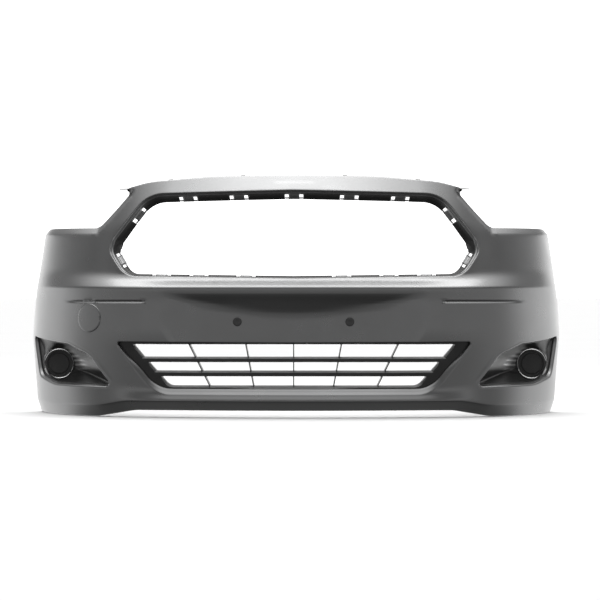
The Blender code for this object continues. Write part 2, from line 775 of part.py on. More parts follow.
def build_cover(parts, tools):
    outer = rounded(cover_outline())
    upper = rounded(both_halves(UPPER_OPENING, UPPER_OPENING_FOOT))
    lower = rounded(both_halves(LOWER_OPENING, LOWER_OPENING_FOOT))
    fogs = [rounded(FOG_OPENING), rounded(mirrored(FOG_OPENING))]
    tow = circle(TOW_CENTRE, TOW_HOLE_RADIUS, 20)
    plugs = [circle((side * PLUG_SPREAD, PLUG_HEIGHT), PLUG_HOLE_RADIUS, 10) for side in (-1, 1)]
    lines = [
        profile_row(1, 0.90),
        profile_row(5, 0.99),
        row_of(-0.455, 0.455, ROOF_TOP),
        row_of(-0.375, 0.375, PANEL_TOP),
    ]
    lip = ((-LIP_DRAFT, LIP_DEPTH, 1.0),)
    wall = ((-LIP_ROUND, LIP_DEPTH / 2, 1.0), (-UPPER_SHIFT, UPPER_DROP, UPPER_FOOT_SHARE))
    rims = [(outer, ((0.0, FLANGE_DEPTH, 1.0),)), (upper, wall)]
    rims += [(hole, lip) for hole in [lower] + fogs] + [(tow, ((0.0, TOW_RIM_DEPTH, 1.0),))]
    mesh = sheet_mesh("bumper_cover", outer, [upper, lower, tow] + fogs + plugs, lines, rims, on_face)
    cover = new_object("bumper_cover", mesh, GREY, parts)
    thicken(cover, WALL)
    added = bmesh.new()
    pilots = bmesh.new()
    for place, source in grille_fixings() + fog_fixings(-1) + fog_fixings(1):
        axes = fixing_frame(place, source)
        rise = depth_at(source.x, source.y) + SEAT - depth_at(place.x, place.y) - WALL / 2
        cylinder_into(added, axes, BOSS_RADIUS, 2 * GAP, rise, 10)
        cylinder_into(pilots, axes, SCREW_SHANK + SCREW_FIT, -2 * OVERRUN, SCREW_BITE + OVERRUN, 8)
    for s, z, length in loop_places():
        axes = edge_frame(upper, (s, z), UPPER_SHIFT, UPPER_DROP, UPPER_FOOT_SHARE)
        polygon_prism(added, axes, loop_outline(length), -LOOP_BACK, -LOOP_FRONT)
    for side in (-1, 1):
        s, z = TAB_PLACE
        tab = Matrix.Translation(point_at(side * s, z, depth_at(s, z) + TAB_BACK))
        box_into(added, tab @ Matrix.Rotation(side * math.radians(TAB_TURN), 4, "Z"), TAB_SIZE)
    cut(cover, tool_object("loops_and_bosses", added, tools), "UNION")
    cut(cover, tool_object("pilot_holes", pilots, tools))


def grille_face(s, z, drop, source):
    return point_at(s, z, depth_at(source.x, source.y) + SEAT + drop)


def rib_place(index, z):
    """Distance from the middle of a rib, or of the outer edge of the cells, at a height."""
    foot, lean = GRILLE_RIBS[index]
    return foot + lean * (z - GRILLE_ROWS[-1][0])


def grille_cells():
    cells = []
    for low, high in GRILLE_ROWS:
        for index in range(3):
            inner = RIB_WIDTH / 2
            left_low = rib_place(index - 1, low) + inner if index else inner
            left_high = rib_place(index - 1, high) + inner if index else inner
            right_low = rib_place(index, low) - (inner if index < 2 else 0.0)
            right_high = rib_place(index, high) - (inner if index < 2 else 0.0)
            foot = 0.035 if (index == 2 and low == GRILLE_ROWS[-1][0]) else 0.0
            cell = (
                (left_low, low, 0.0),
                (right_low, low, foot),
                (right_high, high, 0.0),
                (left_high, high, 0.0),
            )
            cells.append(rounded(cell, 0.09))
            cells.append(rounded(mirrored(cell), 0.09))
    return cells


def build_grille(parts, tools):
    outline = rounded(both_halves(LOWER_OPENING, LOWER_OPENING_FOOT))
    outer = offset_outline(outline, -GRILLE_INSET)
    mesh = slab_mesh("lower_grille", outer, grille_cells(), [], grille_face, 0.0, GRILLE_DEPTH,
                     GRILLE_INSET + GRILLE_BORDER)
    grille = new_object("lower_grille", mesh, BLACK, parts)
    add_ears(grille, grille_fixings(), tools)


def add_ears(item, fixings, tools):
    """Screw ears joined to a piece, and the holes through them."""
    ears, wells, holes = bmesh.new(), bmesh.new(), bmesh.new()
    for place, source in fixings:
        axes = fixing_frame(place, source)
        cylinder_into(ears, axes, EAR_RADIUS, -EAR_THICKNESS, EAR_SINK, 14)
        cylinder_into(wells, axes, SCREW_HEAD + HEAD_ROOM, -2 * GRILLE_DEPTH, -EAR_THICKNESS - EAR_SINK / 2)
        cylinder_into(holes, axes, SCREW_SHANK + SCREW_FIT, -EAR_THICKNESS - OVERRUN, OVERRUN, 8)
    cut(item, tool_object(item.name + "_ears", ears, tools), "UNION")
    cut(item, tool_object(item.name + "_head_wells", wells, tools))
    cut(item, tool_object(item.name + "_ear_holes", holes, tools))


def blank_axes(side):
    """Axes of a fog blank: Z looks out through the front of the blank."""
    yaw = math.radians(BLANK_YAW)
    out = Vector((side * math.sin(yaw), -math.cos(yaw), 0.0))
    up = Vector((0, 0, 1))
    across = up.cross(out)
    s, z = BLANK_PLACE
    place = point_at(side * s, z, depth_at(s, z) + BLANK_DROP)
    return Matrix.Translation(place) @ Matrix((across, up, out)).transposed().to_4x4()


def build_bezel(side, name, parts, tools):
    """The fog bezel: a border behind the cover, a funnel to the round collar and the collar itself."""
    outline = rounded(FOG_OPENING if side > 0 else mirrored(FOG_OPENING))
    border = offset_outline(outline, BEZEL_BORDER)
    edge = offset_outline(outline, -GRILLE_INSET)
    middle = Vector((side * FOG_MIDDLE[0], FOG_MIDDLE[1]))
    axes = blank_axes(side)
    ways = [math.atan2(e.y - middle.y, e.x - middle.x) for e in edge]
    widest = max((b - a) % (2 * math.pi) for a, b in zip(ways, ways[1:] + ways[:1]))
    radius = (BLANK_RADIUS + BLANK_FIT) / math.cos(widest / 2)
    rings = [
        [grille_face(m.x, m.y, 0.0, e) for m, e in zip(border, edge)],
        [grille_face(e.x, e.y, 0.0, e) for e in edge],
    ]
    spots = [Vector((math.cos(way) * radius, math.sin(way) * radius, 0.0)) for way in ways]
    target = [axes @ spot for spot in spots]
    for share in FUNNEL_SHARES:
        sag = FUNNEL_SAG * math.sin(math.pi * share)
        rings.append([a.lerp(b, share) - outward_at(middle.x) * sag for a, b in zip(rings[1], target)])
    rings.append(target)
    rings.append([axes @ (spot - Vector((0, 0, COLLAR_DEPTH))) for spot in spots])
    frame = bmesh.new()
    loops = [[frame.verts.new(p) for p in ring] for ring in rings]
    for first, second in zip(loops, loops[1:]):
        for k in range(len(first)):
            after = (k + 1) % len(first)
            frame.faces.new((first[k], first[after], second[after], second[k]))
    frame.normal_update()
    frame.faces.ensure_lookup_table()
    if frame.faces[0].normal.dot(outward_at(middle.x)) < 0:
        bmesh.ops.reverse_faces(frame, faces=frame.faces)
    mesh = bpy.data.meshes.new("fog_bezel_" + name)
    frame.to_mesh(mesh)
    frame.free()
    bezel = new_object("fog_bezel_" + name, mesh, BLACK, parts)
    thicken(bezel, BEZEL_WALL)
    add_ears(bezel, fog_fixings(side), tools)


def build_blank(side, name, parts):
    """The round blank that fills the collar: a rim, a step and a dished middle."""
    front, back = BLANK_RIM
    profile = list(BLANK_PROFILE) + [(BLANK_RADIUS, front), (BLANK_RADIUS, back), (0.0, back)]
    blank = turned("fog_blank_" + name, profile, parts, BLACK, 28)
    blank.matrix_world = blank_axes(side)


def build_plug(side, name, parts):
    shank = PLUG_HOLE_RADIUS - PLUG_FIT
    profile = [
        (0.0, PLUG_HEAD_THICKNESS), (PLUG_HEAD_RADIUS - PLUG_BEVEL, PLUG_HEAD_THICKNESS),
        (PLUG_HEAD_RADIUS, PLUG_HEAD_THICKNESS - PLUG_BEVEL), (PLUG_HEAD_RADIUS, 0.0), (shank, 0.0),
        (shank, PLUG_TAPER - PLUG_LENGTH), (shank - PLUG_TAPER, -PLUG_LENGTH), (0.0, -PLUG_LENGTH),
    ]
    plug = turned("plate_plug_" + name, profile, parts, BLACK, 14)
    seat = point_at(side * PLUG_SPREAD, PLUG_HEIGHT, depth_at(PLUG_SPREAD, PLUG_HEIGHT))
    plug.location = seat - Vector((0.0, GAP, 0.0))
    plug.rotation_euler = (math.radians(90), 0.0, 0.0)


def build_tow_cover(parts):
    rim = circle(TOW_CENTRE, TOW_HOLE_RADIUS - TOW_RIM_GAP, 20)
    mesh = sheet_mesh("tow_eye_cover", rim, [], [], [(rim, ((0.0, TOW_SKIRT, 1.0),))], on_face)
    edge = TOW_CENTRE[0] - TOW_HOLE_RADIUS
    hinge = point_at(edge, TOW_CENTRE[1], depth_at(edge, TOW_CENTRE[1]))
    mesh.transform(Matrix.Translation(-hinge))
    cover = new_object("tow_eye_cover", mesh, GREY, parts)
    cover.location = hinge
    thicken(cover, BEZEL_WALL)


def build_screws(parts):
    """One screw for each ear, its head behind the ear."""
    under = -EAR_THICKNESS - GAP
    behind = under - SCREW_HEAD_THICKNESS
    profile = [
        (0.0, SCREW_BITE), (SCREW_SHANK, SCREW_BITE - SCREW_POINT), (SCREW_SHANK, under),
        (SCREW_HEAD, under), (SCREW_HEAD, behind), (0.0, behind),
    ]
    groups = [("grille_screw", grille_fixings())]
    groups += [("fog_screw_left", fog_fixings(-1)), ("fog_screw_right", fog_fixings(1))]
    for label, fixings in groups:
        for index, (place, source) in enumerate(fixings):
            screw = turned(label + "_" + str(index + 1), profile, parts, ZINC, 10)
            screw.matrix_world = fixing_frame(place, source)


def build_nuts(parts):
    """U-shaped spring nuts pushed over the flange along the top edge and round the wheel arches."""
    outline = rounded(cover_outline())
    gap = WALL / 2 + NUT_FIT
    leg = gap + NUT_SHEET
    shape = [
        (-leg, -NUT_LENGTH), (-gap, -NUT_LENGTH), (-gap, NUT_FIT), (gap, NUT_FIT),
        (gap, -NUT_LENGTH), (leg, -NUT_LENGTH), (leg, NUT_FIT + NUT_SHEET), (-leg, NUT_FIT + NUT_SHEET),
    ]
    arch = rear_edge()
    halfway = [((a[0] + b[0]) / 2, (a[1] + b[1]) / 2) for a, b in zip(arch, arch[1:])]
    spots = [("top", index + 1, s, TOP_HEIGHT) for index, s in enumerate(TOP_NUTS)]
    spots += [("arch", index + 1, s, z) for index, (s, z) in enumerate(halfway[1:7:2])]
    for side, name in ((-1, "left"), (1, "right")):
        for label, number, s, z in spots:
            axes = edge_frame(outline, (side * s, z), WALL / 2, FLANGE_DEPTH)
            frame = bmesh.new()
            turned_outline = [(depth, across) for across, depth in shape]
            swing = Matrix(((0, 0, 1, 0), (1, 0, 0, 0), (0, 1, 0, 0), (0, 0, 0, 1)))
            polygon_prism(frame, swing, turned_outline, -NUT_WIDTH / 2, NUT_WIDTH / 2)
            bmesh.ops.recalc_face_normals(frame, faces=frame.faces)
            mesh = bpy.data.meshes.new(label + "_nut")
            frame.to_mesh(mesh)
            frame.free()
            nut = new_object(label + "_nut_" + name + "_" + str(number), mesh, ZINC, parts)
            nut.matrix_world = axes


main()
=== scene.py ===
"""Visual model of a primed front bumper cover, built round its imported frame."""

import logging
import math
from dataclasses import dataclass, field
from enum import Enum

import bmesh
import bpy
import numpy as np
from mathutils import Matrix, Vector
from mathutils.geometry import delaunay_2d_cdt
from mathutils.kdtree import KDTree


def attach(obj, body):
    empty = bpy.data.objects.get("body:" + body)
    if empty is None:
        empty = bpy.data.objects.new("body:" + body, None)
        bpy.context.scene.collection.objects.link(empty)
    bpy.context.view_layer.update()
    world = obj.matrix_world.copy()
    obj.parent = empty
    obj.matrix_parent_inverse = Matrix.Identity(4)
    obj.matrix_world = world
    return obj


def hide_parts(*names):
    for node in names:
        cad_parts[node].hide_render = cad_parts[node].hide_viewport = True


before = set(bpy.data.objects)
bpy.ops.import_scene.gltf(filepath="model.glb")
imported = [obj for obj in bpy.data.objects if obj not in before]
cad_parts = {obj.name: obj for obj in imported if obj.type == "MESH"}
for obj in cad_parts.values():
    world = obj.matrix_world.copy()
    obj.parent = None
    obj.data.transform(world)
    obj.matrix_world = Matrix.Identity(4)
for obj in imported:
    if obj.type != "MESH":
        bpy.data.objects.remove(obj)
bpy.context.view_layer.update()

LOG = logging.getLogger("bumper_cover")
# The stored share is the primer on the cover, and a painted highlight share on the fog bezels.
PRIMER_AND_HIGHLIGHT_SHARE = "primer_and_highlight_share"
MIX_SHARE, MIX_FIRST, MIX_SECOND, MIX_RESULT = 0, 6, 7, 2
LEAST_AREA = 1e-9
JOIN_DISTANCE = 1e-6


class Body(Enum):
    """The two bodies that pieces ride on."""

    COVER = "cover"
    TOW_COVER = "tow_cover"


class Slot(Enum):
    """The record's material slots."""

    PRIMER = "primer_grey"
    CAP_PRIMER = "cap_primer_grey"
    MOULDED = "moulded_black"
    BLANK = "blank_black"
    PLUG = "plug_black"
    ZINC = "zinc_steel"


class Side(Enum):
    """The two sides seen from in front, with the sign of X on each."""

    LEFT = -1
    RIGHT = 1


# ---------------------------------------------------------------- shader networks


class Wire:
    """A socket of a material whose operators add Math nodes."""

    def __init__(self, net: "Net", socket: bpy.types.NodeSocket) -> None:
        """Keeps the network and the socket."""
        self.net = net
        self.socket = socket

    def math(self, operation: str, *values: "Wire | float", clamp: bool = False) -> "Wire":
        """Adds a Math node.

        Args:
            operation: the Math node's operation.
            values: the inputs in order.
            clamp: whether the result stays between 0 and 1.

        Returns:
            The node's result.
        """
        settings = {"operation": operation, "use_clamp": clamp}
        return self.net.add("ShaderNodeMath", settings, dict(enumerate(values)))

    def __add__(self, other: "Wire | float") -> "Wire":
        """Sum."""
        return self.math("ADD", self, other)

    def __radd__(self, other: float) -> "Wire":
        """Sum with a number on the left."""
        return self.math("ADD", other, self)

    def __sub__(self, other: "Wire | float") -> "Wire":
        """Difference."""
        return self.math("SUBTRACT", self, other)

    def __rsub__(self, other: float) -> "Wire":
        """Difference with a number on the left."""
        return self.math("SUBTRACT", other, self)

    def __mul__(self, other: "Wire | float") -> "Wire":
        """Product."""
        return self.math("MULTIPLY", self, other)

    def clamped(self) -> "Wire":
        """The value held between 0 and 1."""
        return self.math("ADD", self, 0.0, clamp=True)


class Net:
    """The nodes of a material or of the world."""

    def __init__(self, owner: bpy.types.Material | bpy.types.World) -> None:
        """Opens the nodes of their owner."""
        owner.use_nodes = True
        self.owner = owner
        self.tree = owner.node_tree

    @classmethod
    def of_material(cls, name: str) -> "Net":
        """Starts a material that holds a Principled shader and its output."""
        return cls(bpy.data.materials.new(name))

    def add(self, kind: str, settings: dict, values: dict, output: str | int = 0) -> Wire:
        """Adds a node.

        Args:
            kind: the node's type.
            settings: its properties, set first.
            values: values or wires for its inputs, by name or number.
            output: the output that is wanted.

        Returns:
            A wire from that output.
        """
        node = self.tree.nodes.new(kind)
        for key, setting in settings.items():
            setattr(node, key, setting)
        for key, value in values.items():
            self.connect(node.inputs[key], value)
        return Wire(self, node.outputs[output])

    def connect(self, socket: bpy.types.NodeSocket, value: object) -> None:
        """Links a wire to a socket, or sets its value."""
        if isinstance(value, Wire):
            self.tree.links.new(value.socket, socket)
        else:
            socket.default_value = value

    def surface(self, **values: object) -> bpy.types.Material:
        """Feeds the Principled shader.

        Args:
            values: socket names, with underscores for spaces, and their values.

        Returns:
            The material.
        """
        shader = self.tree.nodes["Principled BSDF"]
        for key, value in values.items():
            self.connect(shader.inputs[key.replace("_", " ")], value)
        return self.owner

    def place(self) -> Wire:
        """Positions on the object in metres."""
        return self.add("ShaderNodeTexCoord", {}, {}, "Object")

    def noise(self, scale: float, detail: float = 3.0, stretch: tuple = (1.0, 1.0, 1.0)) -> Wire:
        """Soft noise.

        Args:
            scale: repeats in a metre.
            detail: octaves.
            stretch: scaling along the three axes.

        Returns:
            A value round one half.
        """
        moved = self.add("ShaderNodeMapping", {}, {"Vector": self.place(), "Scale": stretch})
        return self.add("ShaderNodeTexNoise", {}, {"Vector": moved, "Scale": scale, "Detail": detail})

    def cells(self, scale: float) -> Wire:
        """Distance to the nearest cell centre of a fine grain."""
        return self.add("ShaderNodeTexVoronoi", {}, {"Vector": self.place(), "Scale": scale})

    def stored(self, name: str) -> Wire:
        """A value that the mesh carries."""
        return self.add("ShaderNodeAttribute", {"attribute_name": name}, {}, "Fac")

    def facing_up(self) -> Wire:
        """How far the surface faces upward, from -1 to 1."""
        normal = self.add("ShaderNodeNewGeometry", {}, {}, "Normal")
        return self.add("ShaderNodeSeparateXYZ", {}, {"Vector": normal}, "Z")

    def blend(self, share: Wire | float, first: object, second: object) -> Wire:
        """A colour between two colours."""
        values = {MIX_SHARE: share, MIX_FIRST: first, MIX_SECOND: second}
        return self.add("ShaderNodeMix", {"data_type": "RGBA"}, values, MIX_RESULT)

    def bump(self, height: Wire, depth: float, strength: float) -> Wire:
        """A surface normal disturbed by a height in metres times a depth."""
        return self.add("ShaderNodeBump", {}, {"Height": height, "Distance": depth, "Strength": strength})


def grey(value: float, warmth: float = 0.0) -> tuple:
    """A near-neutral colour.

    Args:
        value: its brightness.
        warmth: a shift towards warm, or cool where negative.

    Returns:
        An RGBA colour.
    """
    return (value * (1 + warmth), value, value * (1 - warmth), 1.0)


@dataclass(frozen=True)
class PrimerFinish:
    """Satin grey primer sprayed over black plastic, thinning out behind the edges."""

    name: str = "sprayed_primer"
    light: float = 0.235
    dark: float = 0.205
    plastic: float = 0.012
    metal: float = 0.80
    gloss: float = 0.29

    def make(self) -> bpy.types.Material:
        """Builds the material."""
        net = Net.of_material(self.name)
        cloud = net.noise(5.0, 2.0)
        mist = net.noise(420.0, 4.0)
        cover = net.stored(PRIMER_AND_HIGHLIGHT_SHARE)
        share = (cover * 1.5 - 0.25 + (mist - 0.5) * 0.5).clamped()
        primer = net.blend(cloud, grey(self.dark), grey(self.light, -0.008))
        speck = (net.noise(900.0, 2.0) - 0.70) * 9.0
        primer = net.blend(speck.clamped() * 0.35, primer, grey(self.light * 1.5))
        colour = net.blend(share, grey(self.plastic), primer)
        rough = self.gloss + (net.noise(14.0, 3.0) - 0.5) * 0.10 + (1 - share) * 0.12
        peel = net.noise(260.0, 2.0) + net.noise(1500.0, 2.0) * 0.4
        return net.surface(
            Base_Color=colour, Roughness=rough, Metallic=share * self.metal,
            Normal=net.bump(peel, 0.0004, 0.10),
        )


@dataclass(frozen=True)
class BareBackFinish:
    """Unpainted black plastic of the inner side, dusted with primer that blew round the edges."""

    name: str = "bare_back"

    def make(self) -> bpy.types.Material:
        """Builds the material."""
        net = Net.of_material(self.name)
        drift = net.noise(6.0, 4.0)
        fleck = (net.noise(700.0, 3.0) - 0.52) * 6.0
        # Here the share is only primer overspray dust, with no painted light.
        dust_and_top_light = ((drift - 0.45) * 3.0).clamped() * fleck.clamped() * 0.5
        flow = net.noise(9.0, 3.0, (1.0, 1.0, 4.0))
        plastic = net.blend(flow, grey(0.010), grey(0.022))
        colour = net.blend(dust_and_top_light, plastic, grey(0.16))
        rough = 0.42 + (flow - 0.5) * 0.2 + dust_and_top_light * 0.3
        height = net.noise(40.0, 3.0) + net.cells(700.0) * 0.15
        return net.surface(Base_Color=colour, Roughness=rough, Normal=net.bump(height, 0.0008, 0.12))


@dataclass(frozen=True)
class GrainedFinish:
    """Moulded black plastic with a fine spark-eroded grain, an optional painted sheen from the stored share
    and optional painted top light on upward faces.
    """

    name: str
    value: float
    gloss: float
    grain: float = 1400.0
    depth: float = 0.00012
    metal: float = 0.0
    specular: float = 0.5
    painted_sheen_tone: float = 0.0
    top_light_tone: float = 0.0

    def make(self) -> bpy.types.Material:
        """Builds the material."""
        net = Net.of_material(self.name)
        cloud = net.noise(18.0, 3.0)
        scuff = ((net.noise(60.0, 5.0, (1.0, 1.0, 5.0)) - 0.60) * 5.0).clamped()
        plastic = net.blend(cloud, grey(self.value * 0.8), grey(self.value * 1.2))
        colour = net.blend(scuff * 0.25, plastic, grey(self.value * 2.2 + 0.01))
        metal = self.metal
        if self.painted_sheen_tone:
            # Painted sheen: where the stored share is high (the fog bezel's crescent and upper ramp), the
            # colour turns pale grey and metallic as a painted highlight.
            share = net.stored(PRIMER_AND_HIGHLIGHT_SHARE).clamped()
            colour = net.blend(share, colour, grey(self.painted_sheen_tone))
            metal = share * self.metal
        if self.top_light_tone:
            # Painted top light: faces that look upward are lightened towards pale grey, standing in for light
            # from above.
            dust_and_top_light = ((net.facing_up() - 0.22) * 3.0).clamped() * (0.75 + cloud * 0.4)
            colour = net.blend(dust_and_top_light, colour, grey(self.top_light_tone))
        rough = self.gloss + (cloud - 0.5) * 0.12 + scuff * 0.10
        height = net.cells(self.grain) + net.noise(self.grain * 0.4, 2.0)
        return net.surface(
            Base_Color=colour, Roughness=rough, Metallic=metal, Specular_IOR_Level=self.specular,
            Normal=net.bump(height, self.depth, 0.35),
        )


@dataclass(frozen=True)
class ZincFinish:
    """Zinc plate with a faint yellow passivation and handling marks."""

    name: str = "plated_zinc"

    def make(self) -> bpy.types.Material:
        """Builds the material."""
        net = Net.of_material(self.name)
        tint = net.noise(160.0, 3.0)
        mark = ((net.noise(500.0, 4.0) - 0.58) * 6.0).clamped()
        plate = net.blend(tint, (0.62, 0.60, 0.55, 1.0), (0.50, 0.49, 0.47, 1.0))
        colour = net.blend(mark * 0.5, plate, (0.22, 0.20, 0.17, 1.0))
        rough = 0.28 + tint * 0.12 + mark * 0.22
        height = net.noise(900.0, 2.0, (1.0, 6.0, 1.0))
        return net.surface(
            Base_Color=colour, Roughness=rough, Metallic=1.0 - mark * 0.3,
            Normal=net.bump(height, 0.0001, 0.2),
        )


@dataclass(frozen=True)
class FloorFinish:
    """Pale matt studio floor."""

    name: str = "studio_floor"

    def make(self) -> bpy.types.Material:
        """Builds the material."""
        net = Net.of_material(self.name)
        cloud = net.noise(1.2, 3.0)
        colour = net.blend(cloud, grey(0.80), grey(0.84))
        return net.surface(Base_Color=colour, Roughness=0.75 + cloud * 0.1)


# ---------------------------------------------------------------- flat outlines


def eased(t: np.ndarray) -> np.ndarray:
    """A smooth step from 0 to 1."""
    t = np.clip(t, 0.0, 1.0)
    return t * t * (3.0 - 2.0 * t)


def lesser(a: np.ndarray, b: np.ndarray, rounding: float) -> np.ndarray:
    """The smaller of two values with a round corner between them."""
    blend = np.maximum(rounding - np.abs(a - b), 0.0) / rounding
    return np.minimum(a, b) - blend * blend * rounding / 4


def greater(a: np.ndarray, b: np.ndarray, rounding: float) -> np.ndarray:
    """The larger of two values with a round corner between them."""
    return -lesser(-a, -b, rounding)


def bent_ramp(t: np.ndarray, rounding: float) -> np.ndarray:
    """Nothing below zero and t above it, with a round start."""
    curve = np.square(t + rounding) / (4 * rounding)
    return np.where(t <= -rounding, 0.0, np.where(t >= rounding, t, curve))


def rounded(corners: tuple | list, step: float, arc_turn: float = 5.0) -> np.ndarray:
    """Points round a closed outline whose corners are arcs.

    Args:
        corners: across, up and corner radius of each corner, counter-clockwise.
        step: longest straight run.
        arc_turn: degrees turned by each run of an arc.

    Returns:
        Flat points, one row each.
    """
    points: list[Vector] = []
    count = len(corners)
    for index, (s, z, radius) in enumerate(corners):
        here = Vector((s, z))
        to_last = (Vector(corners[index - 1][:2]) - here).normalized()
        to_next = (Vector(corners[(index + 1) % count][:2]) - here).normalized()
        turn = math.pi - to_last.angle(to_next)
        if radius == 0.0 or turn < 0.01:
            points.append(here)
            continue
        reach = radius * math.tan(turn / 2)
        centre = here + (to_last + to_next).normalized() * (radius / math.cos(turn / 2))
        steps = max(2, math.ceil(math.degrees(turn) / arc_turn))
        start = here + to_last * reach - centre
        sweep = turn if to_last.cross(to_next) < 0 else -turn
        points += [centre + Matrix.Rotation(sweep * k / steps, 2) @ start for k in range(steps + 1)]
    split: list[Vector] = []
    for a, b in zip(points, points[1:] + points[:1]):
        pieces = max(1, math.ceil((b - a).length / step))
        split += [a.lerp(b, k / pieces) for k in range(pieces)]
    return np.array([tuple(p) for p in split])


def both_halves(half: tuple | list, foot: float) -> list:
    """A closed outline from its right half, which runs upward from the foot on the middle line."""
    left = [(-s, z, r) for s, z, r in reversed(half) if s > 0]
    return [(0.0, foot, 0.0)] + list(half) + left


def mirrored(corners: tuple | list) -> list:
    """The same corners on the other side."""
    return [(-s, z, r) for s, z, r in reversed(corners)]


def outward_ways(points: np.ndarray) -> tuple[np.ndarray, np.ndarray]:
    """Directions out of a counter-clockwise outline.

    Args:
        points: the outline.

    Returns:
        Unit directions, and the lengthening that keeps an offset parallel at a corner.
    """
    before = points - np.roll(points, 1, axis=0)
    after = np.roll(points, -1, axis=0) - points
    before /= np.linalg.norm(before, axis=1)[:, None]
    after /= np.linalg.norm(after, axis=1)[:, None]
    way = np.stack([before[:, 1] + after[:, 1], -before[:, 0] - after[:, 0]], axis=1)
    way /= np.linalg.norm(way, axis=1)[:, None]
    along = np.maximum(way[:, 0] * after[:, 1] - way[:, 1] * after[:, 0], 0.6)
    return way, 1.0 / along


def offset(points: np.ndarray, distance: np.ndarray | float) -> np.ndarray:
    """The counter-clockwise outline moved outward."""
    way, longer = outward_ways(points)
    reach = np.broadcast_to(np.asarray(distance, float), longer.shape) * longer
    return points + way * reach[:, None]


def within(points: np.ndarray, outline: np.ndarray) -> np.ndarray:
    """Which points lie inside a closed outline."""
    found = np.zeros(len(points), bool)
    for a, b in zip(outline, np.roll(outline, -1, axis=0)):
        if a[1] == b[1]:
            continue
        crosses = (a[1] > points[:, 1]) != (b[1] > points[:, 1])
        at = (b[0] - a[0]) * (points[:, 1] - a[1]) / (b[1] - a[1]) + a[0]
        found ^= crosses & (points[:, 0] < at)
    return found


def between(points: np.ndarray, outer: np.ndarray, holes: list) -> np.ndarray:
    """Which points lie inside an outline and outside its holes."""
    found = within(points, outer)
    for hole in holes:
        found &= ~within(points, hole)
    return found


def signs(s: float) -> tuple:
    """Signs of the sides on which a place stands, once when it is on the middle line."""
    return (-1, 1) if s else (1,)


def nearest(outline: np.ndarray, s: float, z: float) -> int:
    """Number of the outline's point nearest to a flat place."""
    return int(np.argmin(np.hypot(outline[:, 0] - s, outline[:, 1] - z)))


def distance_to(points: np.ndarray, line: np.ndarray, closed: bool) -> np.ndarray:
    """Shortest distance from each point to a run of flat points."""
    best = np.full(len(points), 1.0)
    ends = np.roll(line, -1, axis=0) if closed else line[1:]
    for a, b in zip(line, ends):
        run = b - a
        share = np.clip(((points - a) @ run) / (run @ run), 0.0, 1.0)
        gap = points - a - share[:, None] * run
        best = np.minimum(best, np.hypot(gap[:, 0], gap[:, 1]))
    return best


def circle(centre: tuple, radius: float, sides: int) -> np.ndarray:
    """Points round a circle, counter-clockwise."""
    turn = np.arange(sides) * 2 * math.pi / sides
    return np.stack([centre[0] + radius * np.cos(turn), centre[1] + radius * np.sin(turn)], axis=1)


class PointSet:
    """Flat points kept apart by a least distance."""

    CELL = 0.006

    def __init__(self, outlines: list) -> None:
        """Starts with the outlines that the points keep away from."""
        self.grid: dict[tuple, list] = {}
        self.kept: list[tuple] = []
        for outline in outlines:
            self.add(outline, 0.0, always=True)

    def add(self, points: np.ndarray, apart: float, always: bool = False) -> None:
        """Keeps the points that are far enough from those already there."""
        for s, z in points.tolist():
            i, j = int(math.floor(s / self.CELL)), int(math.floor(z / self.CELL))
            if not always and any(
                (s - a) ** 2 + (z - b) ** 2 < apart * apart
                for di in (-1, 0, 1) for dj in (-1, 0, 1)
                for a, b in self.grid.get((i + di, j + dj), ())
            ):
                continue
            self.grid.setdefault((i, j), []).append((s, z))
            if not always:
                self.kept.append((s, z))

    def inside(self, outer: np.ndarray, holes: list) -> list:
        """The kept points inside an outline and outside its holes."""
        points = np.array(self.kept)
        return points[between(points, outer, holes)].tolist()


def triangulated(outer: np.ndarray, holes: list, extra: list) -> tuple:
    """Flat triangles inside an outline and outside its holes.

    Args:
        outer: the outer outline.
        holes: outlines of the holes.
        extra: points inside.

    Returns:
        The points that are used and the triangles as rows of three indices.
    """
    points: list[Vector] = []
    edges: list[tuple] = []
    for outline in [outer] + holes:
        start, count = len(points), len(outline)
        points += [Vector(p) for p in outline]
        edges += [(start + k, start + (k + 1) % count) for k in range(count)]
    points += [Vector(p) for p in extra]
    flat, _, faces, *_ = delaunay_2d_cdt(points, edges, [], 0, JOIN_DISTANCE)
    spots = np.array([tuple(p) for p in flat])
    corners = np.array(faces)
    a, b, c = (spots[corners[:, k]] for k in range(3))
    ab, ac = b - a, c - a
    area = np.abs(ab[:, 0] * ac[:, 1] - ab[:, 1] * ac[:, 0])
    kept = corners[(area > LEAST_AREA) & between((a + b + c) / 3, outer, holes)]
    used = np.unique(kept)
    number = np.full(len(spots), -1)
    number[used] = np.arange(len(used))
    return spots[used], number[kept]


class FlatIndex:
    """Finds points by their flat place."""

    def __init__(self, flat: np.ndarray) -> None:
        """Sorts the points."""
        self.tree = KDTree(len(flat))
        for k, (a, b) in enumerate(flat.tolist()):
            self.tree.insert((a, b, 0.0), k)
        self.tree.balance()

    def numbers(self, outline: np.ndarray) -> np.ndarray:
        """Numbers of the points nearest to those of an outline."""
        return np.array([self.tree.find((a, b, 0.0))[1] for a, b in outline.tolist()])


# ---------------------------------------------------------------- the shape of the nose


